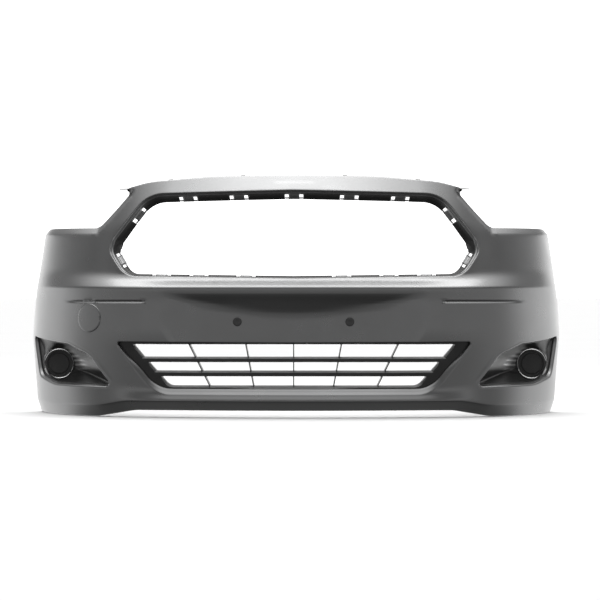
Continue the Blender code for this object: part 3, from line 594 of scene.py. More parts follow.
@dataclass
class NoseShape:
    """The outer face: a bend seen from above, a side profile, the plate recess and the grooves."""

    nose_front: float = -0.2566
    nose_radius: float = 2.4
    corner_radius: float = 0.455
    flank_radius: float = 8.0
    corner_start: float = 0.49
    corner_end: float = 1.05
    bend_blend: float = 0.14
    bend_step: float = 0.002
    rear_reach: float = 1.12
    top_height: float = 0.7385
    chin: float = 0.020
    panel_set_back: float = 0.034
    panel_top: float = 0.317
    roof_top: float = 0.376
    roof_start: float = 0.004
    panel_half_top: float = 0.462
    panel_half_base: float = 0.385
    panel_half_low: float = 0.470
    panel_flare: float = 2.5
    panel_base: float = 0.2265
    groove_top: float = 0.3565
    groove_drop: float = 0.003
    groove_rise: float = 0.008
    groove_depth: float = 0.005
    groove_inner: float = 0.447
    groove_outer: float = 0.760
    strip_width: float = 0.018
    strip_depth: float = 0.010
    fog_groove_away: float = 0.0085
    fog_groove_depth: float = 0.0012
    dish_half: float = 0.070
    dish_depth: float = 0.0015
    stations: tuple = (0.0, 0.38, 0.50, 0.62, 0.80, 1.0, 1.17)
    profile: tuple = (
        ((0.020, 0.020, 0.018, 0.004, 0.0, 0.0, 0.0),
         (0.050, 0.050, 0.046, 0.036, 0.028, 0.026, 0.026), 0.003),
        ((0.050, 0.050, 0.050, 0.036, 0.036, 0.042, 0.042),
         (0.010, 0.010, 0.008, 0.006, 0.010, 0.012, 0.012), 0.004),
        ((0.077, 0.077, 0.087, 0.102, 0.102, 0.102, 0.102),
         (0.022, 0.022, 0.014, 0.000, 0.004, 0.008, 0.010), 0.012),
        ((0.242,) * 7, (0.0,) * 7, 0.030),
        ((0.355,) * 7, (0.002, 0.002, 0.002, 0.002, 0.004, 0.008, 0.010), 0.012),
        ((0.395,) * 7, (0.0, 0.0, 0.002, 0.003, 0.006, 0.012, 0.016), 0.005),
        ((0.422, 0.422, 0.424, 0.432, 0.442, 0.442, 0.442),
         (0.040, 0.040, 0.036, 0.030, 0.026, 0.022, 0.022), 0.012),
        ((0.682, 0.657, 0.612, 0.572, 0.572, 0.572, 0.572),
         (0.085, 0.082, 0.079, 0.075, 0.062, 0.044, 0.040), 0.015),
        ((0.737, 0.727, 0.712, 0.692, 0.692, 0.692, 0.692),
         (0.135, 0.130, 0.125, 0.120, 0.110, 0.090, 0.080), 0.010),
    )
    headlamp_cut: tuple = ((0.556, 0.687, 0.012), (0.672, 0.578, 0.050), (1.12, 0.583, 0.015))
    top_edge: tuple = (
        (0.575, 0.700, 0.006), (0.470, 0.721, 0.400), (0.270, 0.736, 0.600), (0.0, 0.7385, 0.0),
    )
    upper_opening: tuple = (
        (0.53, 0.429, 0.09), (0.615, 0.522, 0.045), (0.475, 0.681, 0.12), (0.0, 0.690, 0.0),
    )
    upper_foot: float = 0.422
    lower_opening: tuple = (
        (0.43, 0.075, 0.11), (0.548, 0.2295, 0.006), (0.385, 0.2285, 0.0), (0.0, 0.2265, 0.0),
    )
    lower_foot: float = 0.075
    fog_opening: tuple = (
        (0.562, 0.095, 0.010), (0.800, 0.097, 0.200), (0.930, 0.120, 0.050),
        (0.985, 0.241, 0.010), (0.730, 0.221, 0.100), (0.640, 0.188, 0.080),
    )
    arch_radius: float = 0.37
    arch_height: float = 0.082
    arch_front: float = 1.0
    arch_steps: int = 36
    lamp_low: float = 0.55
    lamp_side: float = 0.5
    fog_high: float = 0.29
    fog_side: float = 0.52
    bend: np.ndarray = field(init=False)
    fog_line: np.ndarray = field(init=False)

    def __post_init__(self) -> None:
        """Works out the bend and the fine outline of a fog opening."""
        along = (np.arange(int(1.5 / self.bend_step)) + 0.5) * self.bend_step
        corner = eased((along - self.corner_start) / self.bend_blend + 0.5)
        flank = eased((along - self.corner_end) / self.bend_blend + 0.5)
        bend = (1 - corner) / self.nose_radius + (corner - flank) / self.corner_radius
        bend += flank / self.flank_radius
        turn = np.cumsum(bend) * self.bend_step
        x = np.cumsum(np.cos(turn)) * self.bend_step
        y = np.cumsum(np.sin(turn)) * self.bend_step + self.nose_front
        start = np.array([[0.0], [self.nose_front], [0.0]])
        self.bend = np.concatenate([start, np.stack([x, y, turn])], axis=1)
        self.fog_line = rounded(self.fog_opening, 0.012)

    def bend_at(self, s: np.ndarray) -> tuple[np.ndarray, np.ndarray, np.ndarray]:
        """Right-hand x, y and direction of the bend at distances s from the middle."""
        place = np.abs(s) / self.bend_step
        knots = np.arange(self.bend.shape[1])
        return tuple(np.interp(place, knots, row) for row in self.bend)

    def points(self, s: np.ndarray, z: np.ndarray, depth: np.ndarray) -> np.ndarray:
        """World points at s and z, a depth behind the bend."""
        x, y, turn = self.bend_at(s)
        side = np.where(s < 0, -1.0, 1.0)
        return np.stack([side * (x - np.sin(turn) * depth), y + np.cos(turn) * depth, z + 0.0 * s], axis=1)

    def spot(self, s: float, z: float, back: float = 0.0) -> Vector:
        """One point of the outer face, or behind it."""
        flat = np.array([[s], [z]])
        return Vector(self.points(*flat, self.depth(*flat) + back)[0])

    def outward(self, s: float) -> Vector:
        """The level direction that faces out of the cover at s."""
        turn = float(self.bend_at(np.array([s]))[2][0])
        return Vector((math.copysign(1.0, s) * math.sin(turn), -math.cos(turn), 0.0))

    def along(self, values: tuple, s: np.ndarray) -> np.ndarray:
        """A smooth run through a profile line's values at the stations."""
        knots, heights = np.array(self.stations), np.array(values)
        rise = np.diff(heights) / np.diff(knots)
        product = rise[:-1] * rise[1:]
        total = np.where(product > 0, rise[:-1] + rise[1:], 1.0)
        inner = np.where(product > 0, 2 * product / total, 0.0)
        slope = np.concatenate([[0.0], inner, [rise[-1]]])
        s = np.minimum(np.abs(s), knots[-1])
        k = np.clip(np.searchsorted(knots, s) - 1, 0, len(knots) - 2)
        span = knots[k + 1] - knots[k]
        t = (s - knots[k]) / span
        return (
            (2 * t ** 3 - 3 * t ** 2 + 1) * heights[k] + (t ** 3 - 2 * t ** 2 + t) * span * slope[k]
            + (3 * t ** 2 - 2 * t ** 3) * heights[k + 1] + (t ** 3 - t ** 2) * span * slope[k + 1]
        )

    def base_depth(self, s: np.ndarray, z: np.ndarray) -> np.ndarray:
        """Depth of the plain body, before the recess and grooves."""
        lines = [(self.along(h, s), self.along(d, s), r) for h, d, r in self.profile]
        slopes = [(b[1] - a[1]) / (b[0] - a[0]) for a, b in zip(lines, lines[1:])]
        depth = lines[0][1] + slopes[0] * (z - lines[0][0])
        for line, before, after in zip(lines[1:-1], slopes, slopes[1:]):
            depth = depth + (after - before) * bent_ramp(z - line[0], line[2])
        return depth

    def panel_half(self, z: np.ndarray) -> np.ndarray:
        """Half the width of the plate panel at a height."""
        low = np.minimum(self.panel_half_base + (self.panel_base - z) * self.panel_flare, self.panel_half_low)
        share = (z - self.panel_base) / (self.groove_top - self.panel_base)
        high = self.panel_half_base + share * (self.panel_half_top - self.panel_half_base)
        return np.where(z < self.panel_base, low, high)

    def depth(self, s: np.ndarray, z: np.ndarray) -> np.ndarray:
        """Depth of the finished outer face."""
        base = self.base_depth(s, z)
        _, y, turn = self.bend_at(s)
        panel = np.where(np.abs(s) < 0.6, (self.nose_front + self.panel_set_back - y) / np.cos(turn), 0.0)
        slope = (self.panel_set_back - self.roof_start) / (self.roof_top - self.panel_top)
        recess = lesser(panel, base + slope * (self.roof_top - z), 0.006)
        recess = lesser(recess, base + self.panel_half(z) - np.abs(s), 0.024)
        recess = lesser(recess, base + z - self.lower_foot, 0.004)
        depth = greater(base, recess, 0.003)
        fade = eased((np.abs(s) - self.groove_inner) / 0.012) * eased((self.groove_outer - np.abs(s)) / 0.09)
        below = self.groove_top - z
        fall = np.clip(below / self.groove_drop, 0.0, 1.0)
        climb = np.clip((below - self.groove_drop) / self.groove_rise, 0.0, 1.0)
        depth = depth + fade * self.groove_depth * (fall - climb)
        flat = np.stack([np.abs(s), z], axis=1)
        lamp = (z > self.lamp_low) & (np.abs(s) > self.lamp_side)
        if lamp.any():
            edge = np.array([corner[:2] for corner in self.headlamp_cut])
            near = np.clip(1 - distance_to(flat[lamp], edge, False) / self.strip_width, 0.0, 1.0)
            depth[lamp] += self.strip_depth * near
        fog = (z < self.fog_high) & (np.abs(s) > self.fog_side)
        if fog.any():
            away = distance_to(flat[fog], self.fog_line, True)
            line = np.exp(-np.square((away - self.fog_groove_away) / 0.0020))
            inner = eased((flat[fog, 1] - 0.100) / 0.02) * eased((0.86 - flat[fog, 0]) / 0.06)
            depth[fog] += self.fog_groove_depth * line * inner * ~within(flat[fog], self.fog_line)
        crown = eased((self.dish_half - np.abs(s)) / 0.02) * eased((z - 0.712) / 0.008)
        return depth + self.dish_depth * crown

    def rear_edge(self) -> list:
        """Corners down the rear of the right half: straight, then round the wheel arch."""
        centre = self.arch_front + self.arch_radius
        top = math.acos((centre - self.rear_reach) / self.arch_radius)
        low = -math.asin(self.arch_height / self.arch_radius)
        turns = [low + (top - low) * k / self.arch_steps for k in range(self.arch_steps + 1)]
        return [
            (centre - self.arch_radius * math.cos(a), self.arch_height + self.arch_radius * math.sin(a), 0.0)
            for a in turns
        ]

    def cover_corners(self) -> list:
        """Whole outer edge of the cover."""
        chin = [(0.50, self.chin, 0.15), (0.63, 0.0, 0.15)]
        half = chin + self.rear_edge() + list(reversed(self.headlamp_cut)) + list(self.top_edge)
        return both_halves(half, self.chin)

    def fog_corners(self, side: Side) -> list:
        """Corners of the fog opening on one side."""
        return list(self.fog_opening) if side is Side.RIGHT else mirrored(self.fog_opening)


# ---------------------------------------------------------------- meshes


def store_primer_and_highlight(mesh: bpy.types.Mesh, values: np.ndarray) -> None:
    """Writes each point's primer share, which on the fog bezels is a painted highlight share."""
    store = mesh.attributes.new(PRIMER_AND_HIGHLIGHT_SHARE, "FLOAT", "POINT")
    store.data.foreach_set("value", values)


@dataclass
class Skin:
    """Points and faces gathered for one mesh, each point with a primer share, which on the fog bezels is a
    painted highlight share.
    """

    verts: list = field(default_factory=list)
    faces: list = field(default_factory=list)
    primer: list = field(default_factory=list)

    def add_points(self, points: np.ndarray, primer: float | np.ndarray = 1.0) -> np.ndarray:
        """Adds points.

        Args:
            points: world positions.
            primer: how much primer lies on them; on a fog bezel, how strong the painted highlight is.

        Returns:
            Their numbers.
        """
        start = len(self.verts)
        self.verts += points.tolist()
        self.primer += np.broadcast_to(primer, len(points)).tolist()
        return np.arange(start, start + len(points))

    def add_strip(self, first: np.ndarray, second: np.ndarray, skip: np.ndarray | None = None) -> None:
        """Joins two closed rings with quads, apart from the skipped ones."""
        for k in range(len(first)):
            if skip is None or not skip[k]:
                after = (k + 1) % len(first)
                self.faces.append((first[k], first[after], second[after], second[k]))

    def grow(self, last: np.ndarray, points: np.ndarray, primer: float | np.ndarray = 1.0,
             skip: np.ndarray | None = None) -> np.ndarray:
        """Adds a ring of points and joins it to the last ring.

        Args:
            last: numbers of the last ring.
            points: world positions of the new ring.
            primer: how much primer lies on them; on a fog bezel, how strong the painted highlight is.
            skip: runs that stay open.

        Returns:
            Numbers of the new ring.
        """
        numbers = self.add_points(points, primer)
        self.add_strip(last, numbers, skip)
        return numbers

    def mesh(self, name: str) -> bpy.types.Mesh:
        """Builds a smooth mesh whose faces agree on their outer side."""
        made = bpy.data.meshes.new(name)
        loops = [tuple(dict.fromkeys(int(k) for k in face)) for face in self.faces]
        made.from_pydata(self.verts, [], [face for face in loops if len(face) > 2])
        made.validate()
        store_primer_and_highlight(made, np.array(self.primer, np.float32))
        work = bmesh.new()
        work.from_mesh(made)
        bmesh.ops.recalc_face_normals(work, faces=work.faces)
        work.to_mesh(made)
        work.free()
        made.shade_smooth()
        return made


def face_forward(mesh: bpy.types.Mesh, way: Vector) -> None:
    """Turns an open mesh so that its largest face looks along a direction."""
    lead = max(mesh.polygons, key=lambda face: face.area)
    if lead.normal.dot(way) < 0:
        mesh.flip_normals()


def make_piece(name: str, mesh: bpy.types.Mesh, materials: list, body: Body,
               stands_for: tuple = ()) -> bpy.types.Object:
    """Puts a mesh into the scene as a piece of the object.

    Args:
        name: the piece's name.
        mesh: its mesh, in the row frame.
        materials: its materials in slot order.
        body: the body it rides on.
        stands_for: CAD nodes that it replaces.

    Returns:
        The object.
    """
    item = bpy.data.objects.new(name, mesh)
    bpy.context.scene.collection.objects.link(item)
    for material in materials:
        mesh.materials.append(material)
    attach(item, body.value)
    if stands_for:
        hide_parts(*stands_for)
    LOG.info("%s: %d points on %s", name, len(mesh.vertices), body.value)
    return item


def thicken(item: bpy.types.Object, wall: float, inner_slot: int = 0) -> None:
    """Gives an open skin a wall behind its face."""
    solid = item.modifiers.new("wall", "SOLIDIFY")
    solid.thickness = wall
    solid.offset = -1.0
    solid.use_quality_normals = True
    solid.material_offset = inner_slot
    solid.material_offset_rim = inner_slot


def bevel(item: bpy.types.Object, width: float, segments: int = 2) -> None:
    """Rounds a piece's sharp edges."""
    soft = item.modifiers.new("edges", "BEVEL")
    soft.width = width
    soft.segments = segments
    soft.limit_method = "ANGLE"
    soft.angle_limit = math.radians(35)


def axes_at(place: Vector, along: Vector, up: Vector, out: Vector) -> Matrix:
    """Axes with their origin at a place."""
    return Matrix.Translation(place) @ Matrix((along, up, out)).transposed().to_4x4()


def add_turned(work: bmesh.types.BMesh, axes: Matrix, profile: list, sides: int,
               closed: bool = False) -> list:
    """Adds the faces of a profile turned about Z to a bmesh.

    Args:
        work: the bmesh.
        axes: where they stand.
        profile: radius and height of each ring.
        sides: points round it.
        closed: whether the last ring joins the first.

    Returns:
        The points of each ring.
    """
    rings = []
    for radius, height in profile:
        if radius == 0.0:
            rings.append([work.verts.new(axes @ Vector((0.0, 0.0, height)))] * sides)
            continue
        turns = [2 * math.pi * k / sides for k in range(sides)]
        spots = [Vector((radius * math.cos(a), radius * math.sin(a), height)) for a in turns]
        rings.append([work.verts.new(axes @ spot) for spot in spots])
    for first, second in zip(rings, rings[1:] + (rings[:1] if closed else [])):
        for k in range(sides):
            after = (k + 1) % sides
            corners = [first[k], first[after], second[after], second[k]]
            work.faces.new(list(dict.fromkeys(corners)))
    return rings


def turned_mesh(name: str, profile: list, sides: int, axes: Matrix) -> bpy.types.Mesh:
    """A closed turned solid.

    Args:
        name: the mesh's name.
        profile: radius and height down its outer side, from axis to axis.
        sides: points round it.
        axes: where it stands, turned about Z.

    Returns:
        The mesh.
    """
    work = bmesh.new()
    add_turned(work, axes, profile, sides)
    made = emptied(work, name)
    made.shade_smooth()
    return made


def add_prism(work: bmesh.types.BMesh, axes: Matrix, outline: list, low: float, high: float) -> None:
    """Adds a prism of a flat outline between two heights to a bmesh."""
    floor = [work.verts.new(axes @ Vector((x, y, low))) for x, y in outline]
    roof = [work.verts.new(axes @ Vector((x, y, high))) for x, y in outline]
    work.faces.new(list(reversed(floor)))
    work.faces.new(roof)
    for k in range(len(outline)):
        after = (k + 1) % len(outline)
        work.faces.new((floor[k], floor[after], roof[after], roof[k]))


def emptied(work: bmesh.types.BMesh, name: str) -> bpy.types.Mesh:
    """Moves a bmesh into a mesh whose faces look outward."""
    bmesh.ops.recalc_face_normals(work, faces=work.faces)
    made = bpy.data.meshes.new(name)
    work.to_mesh(made)
    work.free()
    return made


def finished(work: bmesh.types.BMesh, name: str) -> bpy.types.Mesh:
    """Moves a bmesh into a mesh that carries full primer."""
    made = emptied(work, name)
    store_primer_and_highlight(made, np.ones(len(made.vertices), np.float32))
    return made


@dataclass
class Finishes:
    """The materials, made once."""

    primer: bpy.types.Material
    back: bpy.types.Material
    moulded: bpy.types.Material
    bezel: bpy.types.Material
    blank: bpy.types.Material
    plug: bpy.types.Material
    zinc: bpy.types.Material

    @classmethod
    def make(cls) -> "Finishes":
        """Builds every finish."""
        return cls(
            PrimerFinish().make(), BareBackFinish().make(),
            # grained_black carries painted top light on upward faces; satin_black carries the fog bezels'
            # painted sheen.
            GrainedFinish("grained_black", 0.020, 0.40, top_light_tone=0.22).make(),
            GrainedFinish("satin_black", 0.035, 0.33, 1100.0, 0.00010, 0.5, 0.25, 0.75).make(),
            GrainedFinish("smooth_black", 0.065, 0.45, 1900.0, 0.00006, specular=0.2).make(),
            GrainedFinish("primed_plug", 0.075, 0.38, 1500.0, 0.00008, 0.6).make(),
            ZincFinish().make(),
        )


# ---------------------------------------------------------------- the cover


@dataclass
class CoverShell:
    """The painted cover with its rolled lips, return walls, clip loops and tabs."""

    shape: NoseShape
    finishes: Finishes
    wall: float = 0.003
    step: float = 0.008
    lip_depth: float = 0.012
    edge_roll: float = 0.0022
    flange_depth: float = 0.016
    wall_shift: float = 0.022
    wall_drop: float = 0.034
    foot_share: float = 0.15
    upstand: float = 0.0035
    loop_length: float = 0.055
    window: float = 0.011
    tab_length: float = 0.024
    bar: float = 0.004
    top_loops: tuple = ((0.0, 0.690), (0.178, 0.689), (0.345, 0.686), (0.520, 0.630), (0.566, 0.470))
    top_tabs: tuple = ((0.090, 0.690), (0.262, 0.688), (0.425, 0.678), (0.610, 0.525))
    low_loops: tuple = ((0.150, 0.422), (0.300, 0.422), (0.420, 0.427))
    tow_centre: tuple = (-0.642, 0.301)
    tow_hole: float = 0.0425
    plug_spread: float = 0.172
    plug_height: float = 0.290
    plug_hole: float = 0.0095
    tight_lines: tuple = (0, 1, 2, 5, 6, 7)
    tab_place: tuple = (0.568, 0.699)
    tab_back: float = 0.010
    tab_half: float = 0.0015
    tab_turn: float = 20.0
    wall_rings: dict = field(default_factory=dict)

    def rolled(self, outline: np.ndarray, radius: np.ndarray) -> tuple[np.ndarray, list]:
        """A round lip along the edge of a hole.

        Args:
            outline: the edge of the hole.
            radius: roll radius at each point.

        Returns:
            The outline where the roll leaves the face, and rings of shift and drop down to the edge.
        """
        turns = [math.radians(a) for a in (22.5, 45.0, 67.5, 90.0)]
        rings = [(radius * (1 - math.sin(a)), radius * (1 - math.cos(a)), 1.0) for a in turns]
        return offset(outline, radius), rings

    def crease_rows(self, s: np.ndarray) -> list:
        """Rows of flat points that hug the creases."""
        rows = []
        for index in self.tight_lines:
            heights, _, radius = self.shape.profile[index]
            middle = self.shape.along(heights, s)
            rows += [np.stack([s, middle + radius * k / 2], axis=1) for k in (-2, -1, 0, 1, 2)]
        groove = self.shape.groove_top
        floor = groove - self.shape.groove_drop
        edge = floor - self.shape.groove_rise
        for height, spread in (
            (groove, 0.0007), (floor, 0.0007), (edge, 0.0010), (self.shape.roof_top, 0.003),
            (self.shape.panel_top, 0.004), (0.712, 0.004), (0.720, 0.003),
        ):
            rows += [np.stack([s, np.full_like(s, height + spread * k)], axis=1) for k in (-1, 0, 1)]
        return rows

    def slanted_lines(self) -> list:
        """Rows of flat points beside the slanted ends of the plate panel."""
        z = np.arange(self.shape.panel_base + 0.001, self.shape.groove_top, 0.006)
        half = self.shape.panel_half(z)
        return [np.stack([side * (half + away), z], axis=1)
                for side in (-1, 1) for away in (0.003, 0.0, -0.003, -0.008, -0.016)]

    def inner_points(self, outer: np.ndarray, holes: list, rings: list) -> list:
        """Points spread over the face between the outlines."""
        spread = PointSet([outer] + holes)
        for ring in rings:
            spread.add(ring, 0.0012)
        columns = np.arange(-self.shape.rear_reach, self.shape.rear_reach + self.step, self.step)
        for line in self.slanted_lines():
            spread.add(line, 0.0018)
        for row in self.crease_rows(columns):
            spread.add(row, 0.0006)
        for height in np.arange(self.step / 2, self.shape.top_height, self.step):
            spread.add(np.stack([columns, np.full_like(columns, height)], axis=1), 0.0046)
        return spread.inside(outer, holes)

    def loop_windows(self, outline: np.ndarray) -> tuple[np.ndarray, np.ndarray]:
        """Where the return wall is open beside the clip loops, and where it is part of one.

        Args:
            outline: the edge of the upper opening.

        Returns:
            Which runs are open, and which points carry a loop.
        """
        run = np.linalg.norm(np.roll(outline, -1, axis=0) - outline, axis=1)
        place = np.concatenate([[0.0], np.cumsum(run)[:-1]])
        total = run.sum()
        middle = place + run / 2
        is_open, is_loop = np.zeros(len(outline), bool), np.zeros(len(outline), bool)
        for s, z in self.top_loops + self.low_loops:
            for side in signs(s):
                at = place[nearest(outline, side * s, z)]
                gap = np.abs((middle - at + total / 2) % total - total / 2)
                is_open |= (gap < self.loop_length / 2) & (gap > self.loop_length / 2 - self.window)
                near = np.abs((place - at + total / 2) % total - total / 2)
                is_loop |= near < self.loop_length / 2 - self.window * 0.8
        return is_open, is_loop

    def shell_mesh(self) -> bpy.types.Mesh:
        """The skin with its lips and walls, still without thickness."""
        shape, skin = self.shape, Skin()
        outer = rounded(shape.cover_corners(), self.step)
        upper = rounded(both_halves(shape.upper_opening, shape.upper_foot), 0.006)
        lower = rounded(both_halves(shape.lower_opening, shape.lower_foot), self.step)
        fogs = [rounded(shape.fog_corners(side), 0.006) for side in Side]
        tow = circle(self.tow_centre, self.tow_hole, 64)
        plug_spots = [(side.value * self.plug_spread, self.plug_height) for side in Side]
        plugs = [circle(spot, self.plug_hole, 32) for spot in plug_spots]
        edges, specs, rings = [], [], []
        for outline, plain, extra, kind in (
            [(upper, 0.0030, 0.0, "upper"), (lower, 0.0020, 0.0040, "low"), (tow, 0.0012, 0.0, "tow")]
            + [(fog, 0.0030, 0.0060, "lip") for fog in fogs]
            + [(plug, 0.0008, 0.0, "plug") for plug in plugs]
        ):
            way, _ = outward_ways(outline)
            radius = plain + extra * np.maximum(-way[:, 1], 0.0) ** 0.8
            start, walls = self.rolled(outline, radius)
            if kind == "low":
                walls = walls[:1]
            edges.append(start)
            specs.append((outline, walls + self.return_walls(kind, radius), kind))
            if kind != "plug":
                rings += [offset(outline, radius + away) for away in (0.002, 0.0045, 0.0075, 0.011)]
        inset = offset(outer, -self.edge_roll)
        rings.append(offset(outer, -0.005))
        for ring in (offset(outer, -0.0165), offset(outer, -0.0195)):
            beside_lamp = (ring[:, 1] > shape.lamp_low + 0.005) & (np.abs(ring[:, 0]) > shape.lamp_side)
            rings.append(ring[beside_lamp])
        flat, faces = triangulated(inset, edges, self.inner_points(inset, edges, rings))
        s, z = flat[:, 0], flat[:, 1]
        skin.add_points(shape.points(s, z, shape.depth(s, z)))
        skin.faces += faces.tolist()
        find = FlatIndex(flat)
        turns = [math.radians(a) for a in (30.0, 60.0, 90.0)]
        rim = [(-self.edge_roll * (1 - math.sin(a)), self.edge_roll * (1 - math.cos(a)), 1.0) for a in turns]
        rim += [(0.0, self.flange_depth * 0.6, 0.75), (0.0, self.flange_depth, 0.3)]
        self.add_walls(skin, outer, inset, find, rim, "rim")
        for (outline, walls, kind), start in zip(specs, edges):
            self.add_walls(skin, outline, start, find, walls, kind)
        made = skin.mesh("bumper_cover_skin")
        face_forward(made, Vector((0, -1, 0)))
        return made

    def return_walls(self, kind: str, radius: np.ndarray) -> list:
        """Rings of shift, drop and primer share behind a lip."""
        if kind == "upper":
            return [
                (-0.0006, radius + 0.0030, 0.8), (-0.0012, radius + 0.0042, 0.75),
                (-0.0052, radius + 0.0050, 1.0), (-0.0062, radius + 0.0068, 0.85),
                (-0.0072, radius + 0.0090, 0.18), (-0.0118, radius + 0.0160, 0.0),
                (-self.wall_shift, self.wall_drop, 0.0),
            ]
        if kind == "tow":
            return [(0.0, 0.004, 0.8), (0.0, 0.009, 0.1)]
        if kind == "plug":
            return []
        if kind == "low":
            return [
                (0.0, radius * 0.43, 1.0), (-0.0056, radius * 0.43 + 0.0030, 1.0),
                (-0.0112, radius * 0.43 + 0.0060, 1.0), (-0.0118, radius * 0.43 + 0.0068, 0.9),
                (-0.0124, np.maximum(radius * 0.43 + 0.0080, 0.0105), 0.5), (-0.0126, self.lip_depth, 0.0),
            ]
        return [(-0.0010, radius * 0.5 + self.lip_depth * 0.5, 0.75), (-0.0020, self.lip_depth, 0.35)]

    def add_walls(self, skin: Skin, outline: np.ndarray, start: np.ndarray, find: FlatIndex, walls: list,
                  kind: str) -> None:
        """Adds the rings behind one edge to the skin.

        Args:
            skin: the skin so far.
            outline: the edge.
            start: the outline where the wall leaves the face.
            find: the points already there, by flat place.
            walls: rings of shift, drop and primer share.
            kind: which edge it is.
        """
        shape = self.shape
        last = find.numbers(start)
        way, _ = outward_ways(outline)
        is_open, is_loop = self.loop_windows(outline) if kind == "upper" else (None, None)
        level = shape.depth(outline[:, 0], outline[:, 1])
        rings = []
        for index, (shift, drop, primer) in enumerate(walls):
            reach = np.broadcast_to(np.asarray(shift, float), len(outline)).copy()
            if kind == "upper":
                foot = 1.0 - (1.0 - self.foot_share) * np.maximum(-way[:, 1], 0.0) ** 2
                reach = np.where(reach < -0.001, reach * foot, reach)
            if kind == "low":
                foot = eased((0.224 - outline[:, 1]) / 0.100) * (way[:, 1] < 0.0)
                reach = np.where(reach < -0.001, reach * foot, reach)
            moved = offset(outline, reach)
            own = shape.depth(moved[:, 0], moved[:, 1]) if np.max(reach) > 0 or kind == "rim" else level
            ring = shape.points(moved[:, 0], moved[:, 1], own + drop)
            share = np.full(len(ring), primer)
            if is_loop is not None and index >= len(walls) - 2:
                share = np.where(is_loop, 1.0, share)
            last = skin.grow(last, ring, share, is_open if index == len(walls) - 1 else None)
            rings.append(ring)
        if kind == "upper":
            self.wall_rings = {"outline": outline, "before": rings[-2], "last": rings[-1]}
            tip = offset(outline, reach - self.upstand)
            ring = shape.points(tip[:, 0], tip[:, 1], level + drop + 0.0006)
            skin.grow(last, ring, np.where(is_loop, 0.9, 0.0), is_open)

    def loop_bars(self) -> bpy.types.Mesh:
        """The bars of the clip loops and the short tabs between them."""
        outline, before, last = (self.wall_rings[key] for key in ("outline", "before", "last"))
        work = bmesh.new()
        places = [(s, z, self.loop_length, self.bar) for s, z in self.top_loops + self.low_loops]
        places += [(s, z, self.tab_length, self.bar * 1.5) for s, z in self.top_tabs]
        for s, z, length, reach in places:
            for side in signs(s):
                index = nearest(outline, side * s, z)
                count = len(outline)
                here = Vector(last[index])
                along = (Vector(last[(index + 2) % count]) - Vector(last[index - 2])).normalized()
                back = (here - Vector(before[index])).normalized()
                back = (back - along * back.dot(along)).normalized()
                axes = axes_at(here, along, back, along.cross(back))
                half, nose = length / 2, reach * 0.4
                bar = [(-half, -0.001), (half, -0.001), (half, reach - nose), (half - nose, reach),
                       (nose - half, reach), (-half, reach - nose)]
                thick = self.wall * 0.45
                add_prism(work, axes, bar, -thick - 0.0012, thick - 0.0012)
        return finished(work, "clip_loops")

    def corner_tabs(self) -> bpy.types.Mesh:
        """The thin pointed tabs at the upper corners."""
        work = bmesh.new()
        s, z = self.tab_place
        for side in Side:
            sign = side.value
            spot = self.shape.spot(sign * s, z, self.tab_back)
            axes = Matrix.Translation(spot) @ Matrix.Rotation(sign * math.radians(self.tab_turn), 4, "Z")
            tip = [(-0.030, -0.012), (0.012, -0.012), (0.030, -0.006), (0.030, 0.004), (0.014, 0.012),
                   (-0.030, 0.012)]
            tip = [(sign * x, y) for x, y in (tip if sign > 0 else reversed(tip))]
            add_prism(work, axes, tip, -self.tab_half, self.tab_half)
        return finished(work, "corner_tabs")

    def build(self) -> list:
        """Builds the cover and what is moulded with it."""
        finishes = self.finishes
        shell = make_piece("cover_shell", self.shell_mesh(), [finishes.primer, finishes.back], Body.COVER,
                           ("bumper_cover",))
        thicken(shell, self.wall, 1)
        loops = make_piece("clip_loops", self.loop_bars(), [finishes.primer], Body.COVER)
        bevel(loops, 0.0005)
        tabs = make_piece("corner_tabs", self.corner_tabs(), [finishes.primer], Body.COVER)
        bevel(tabs, 0.0006)
        return [shell, loops, tabs]


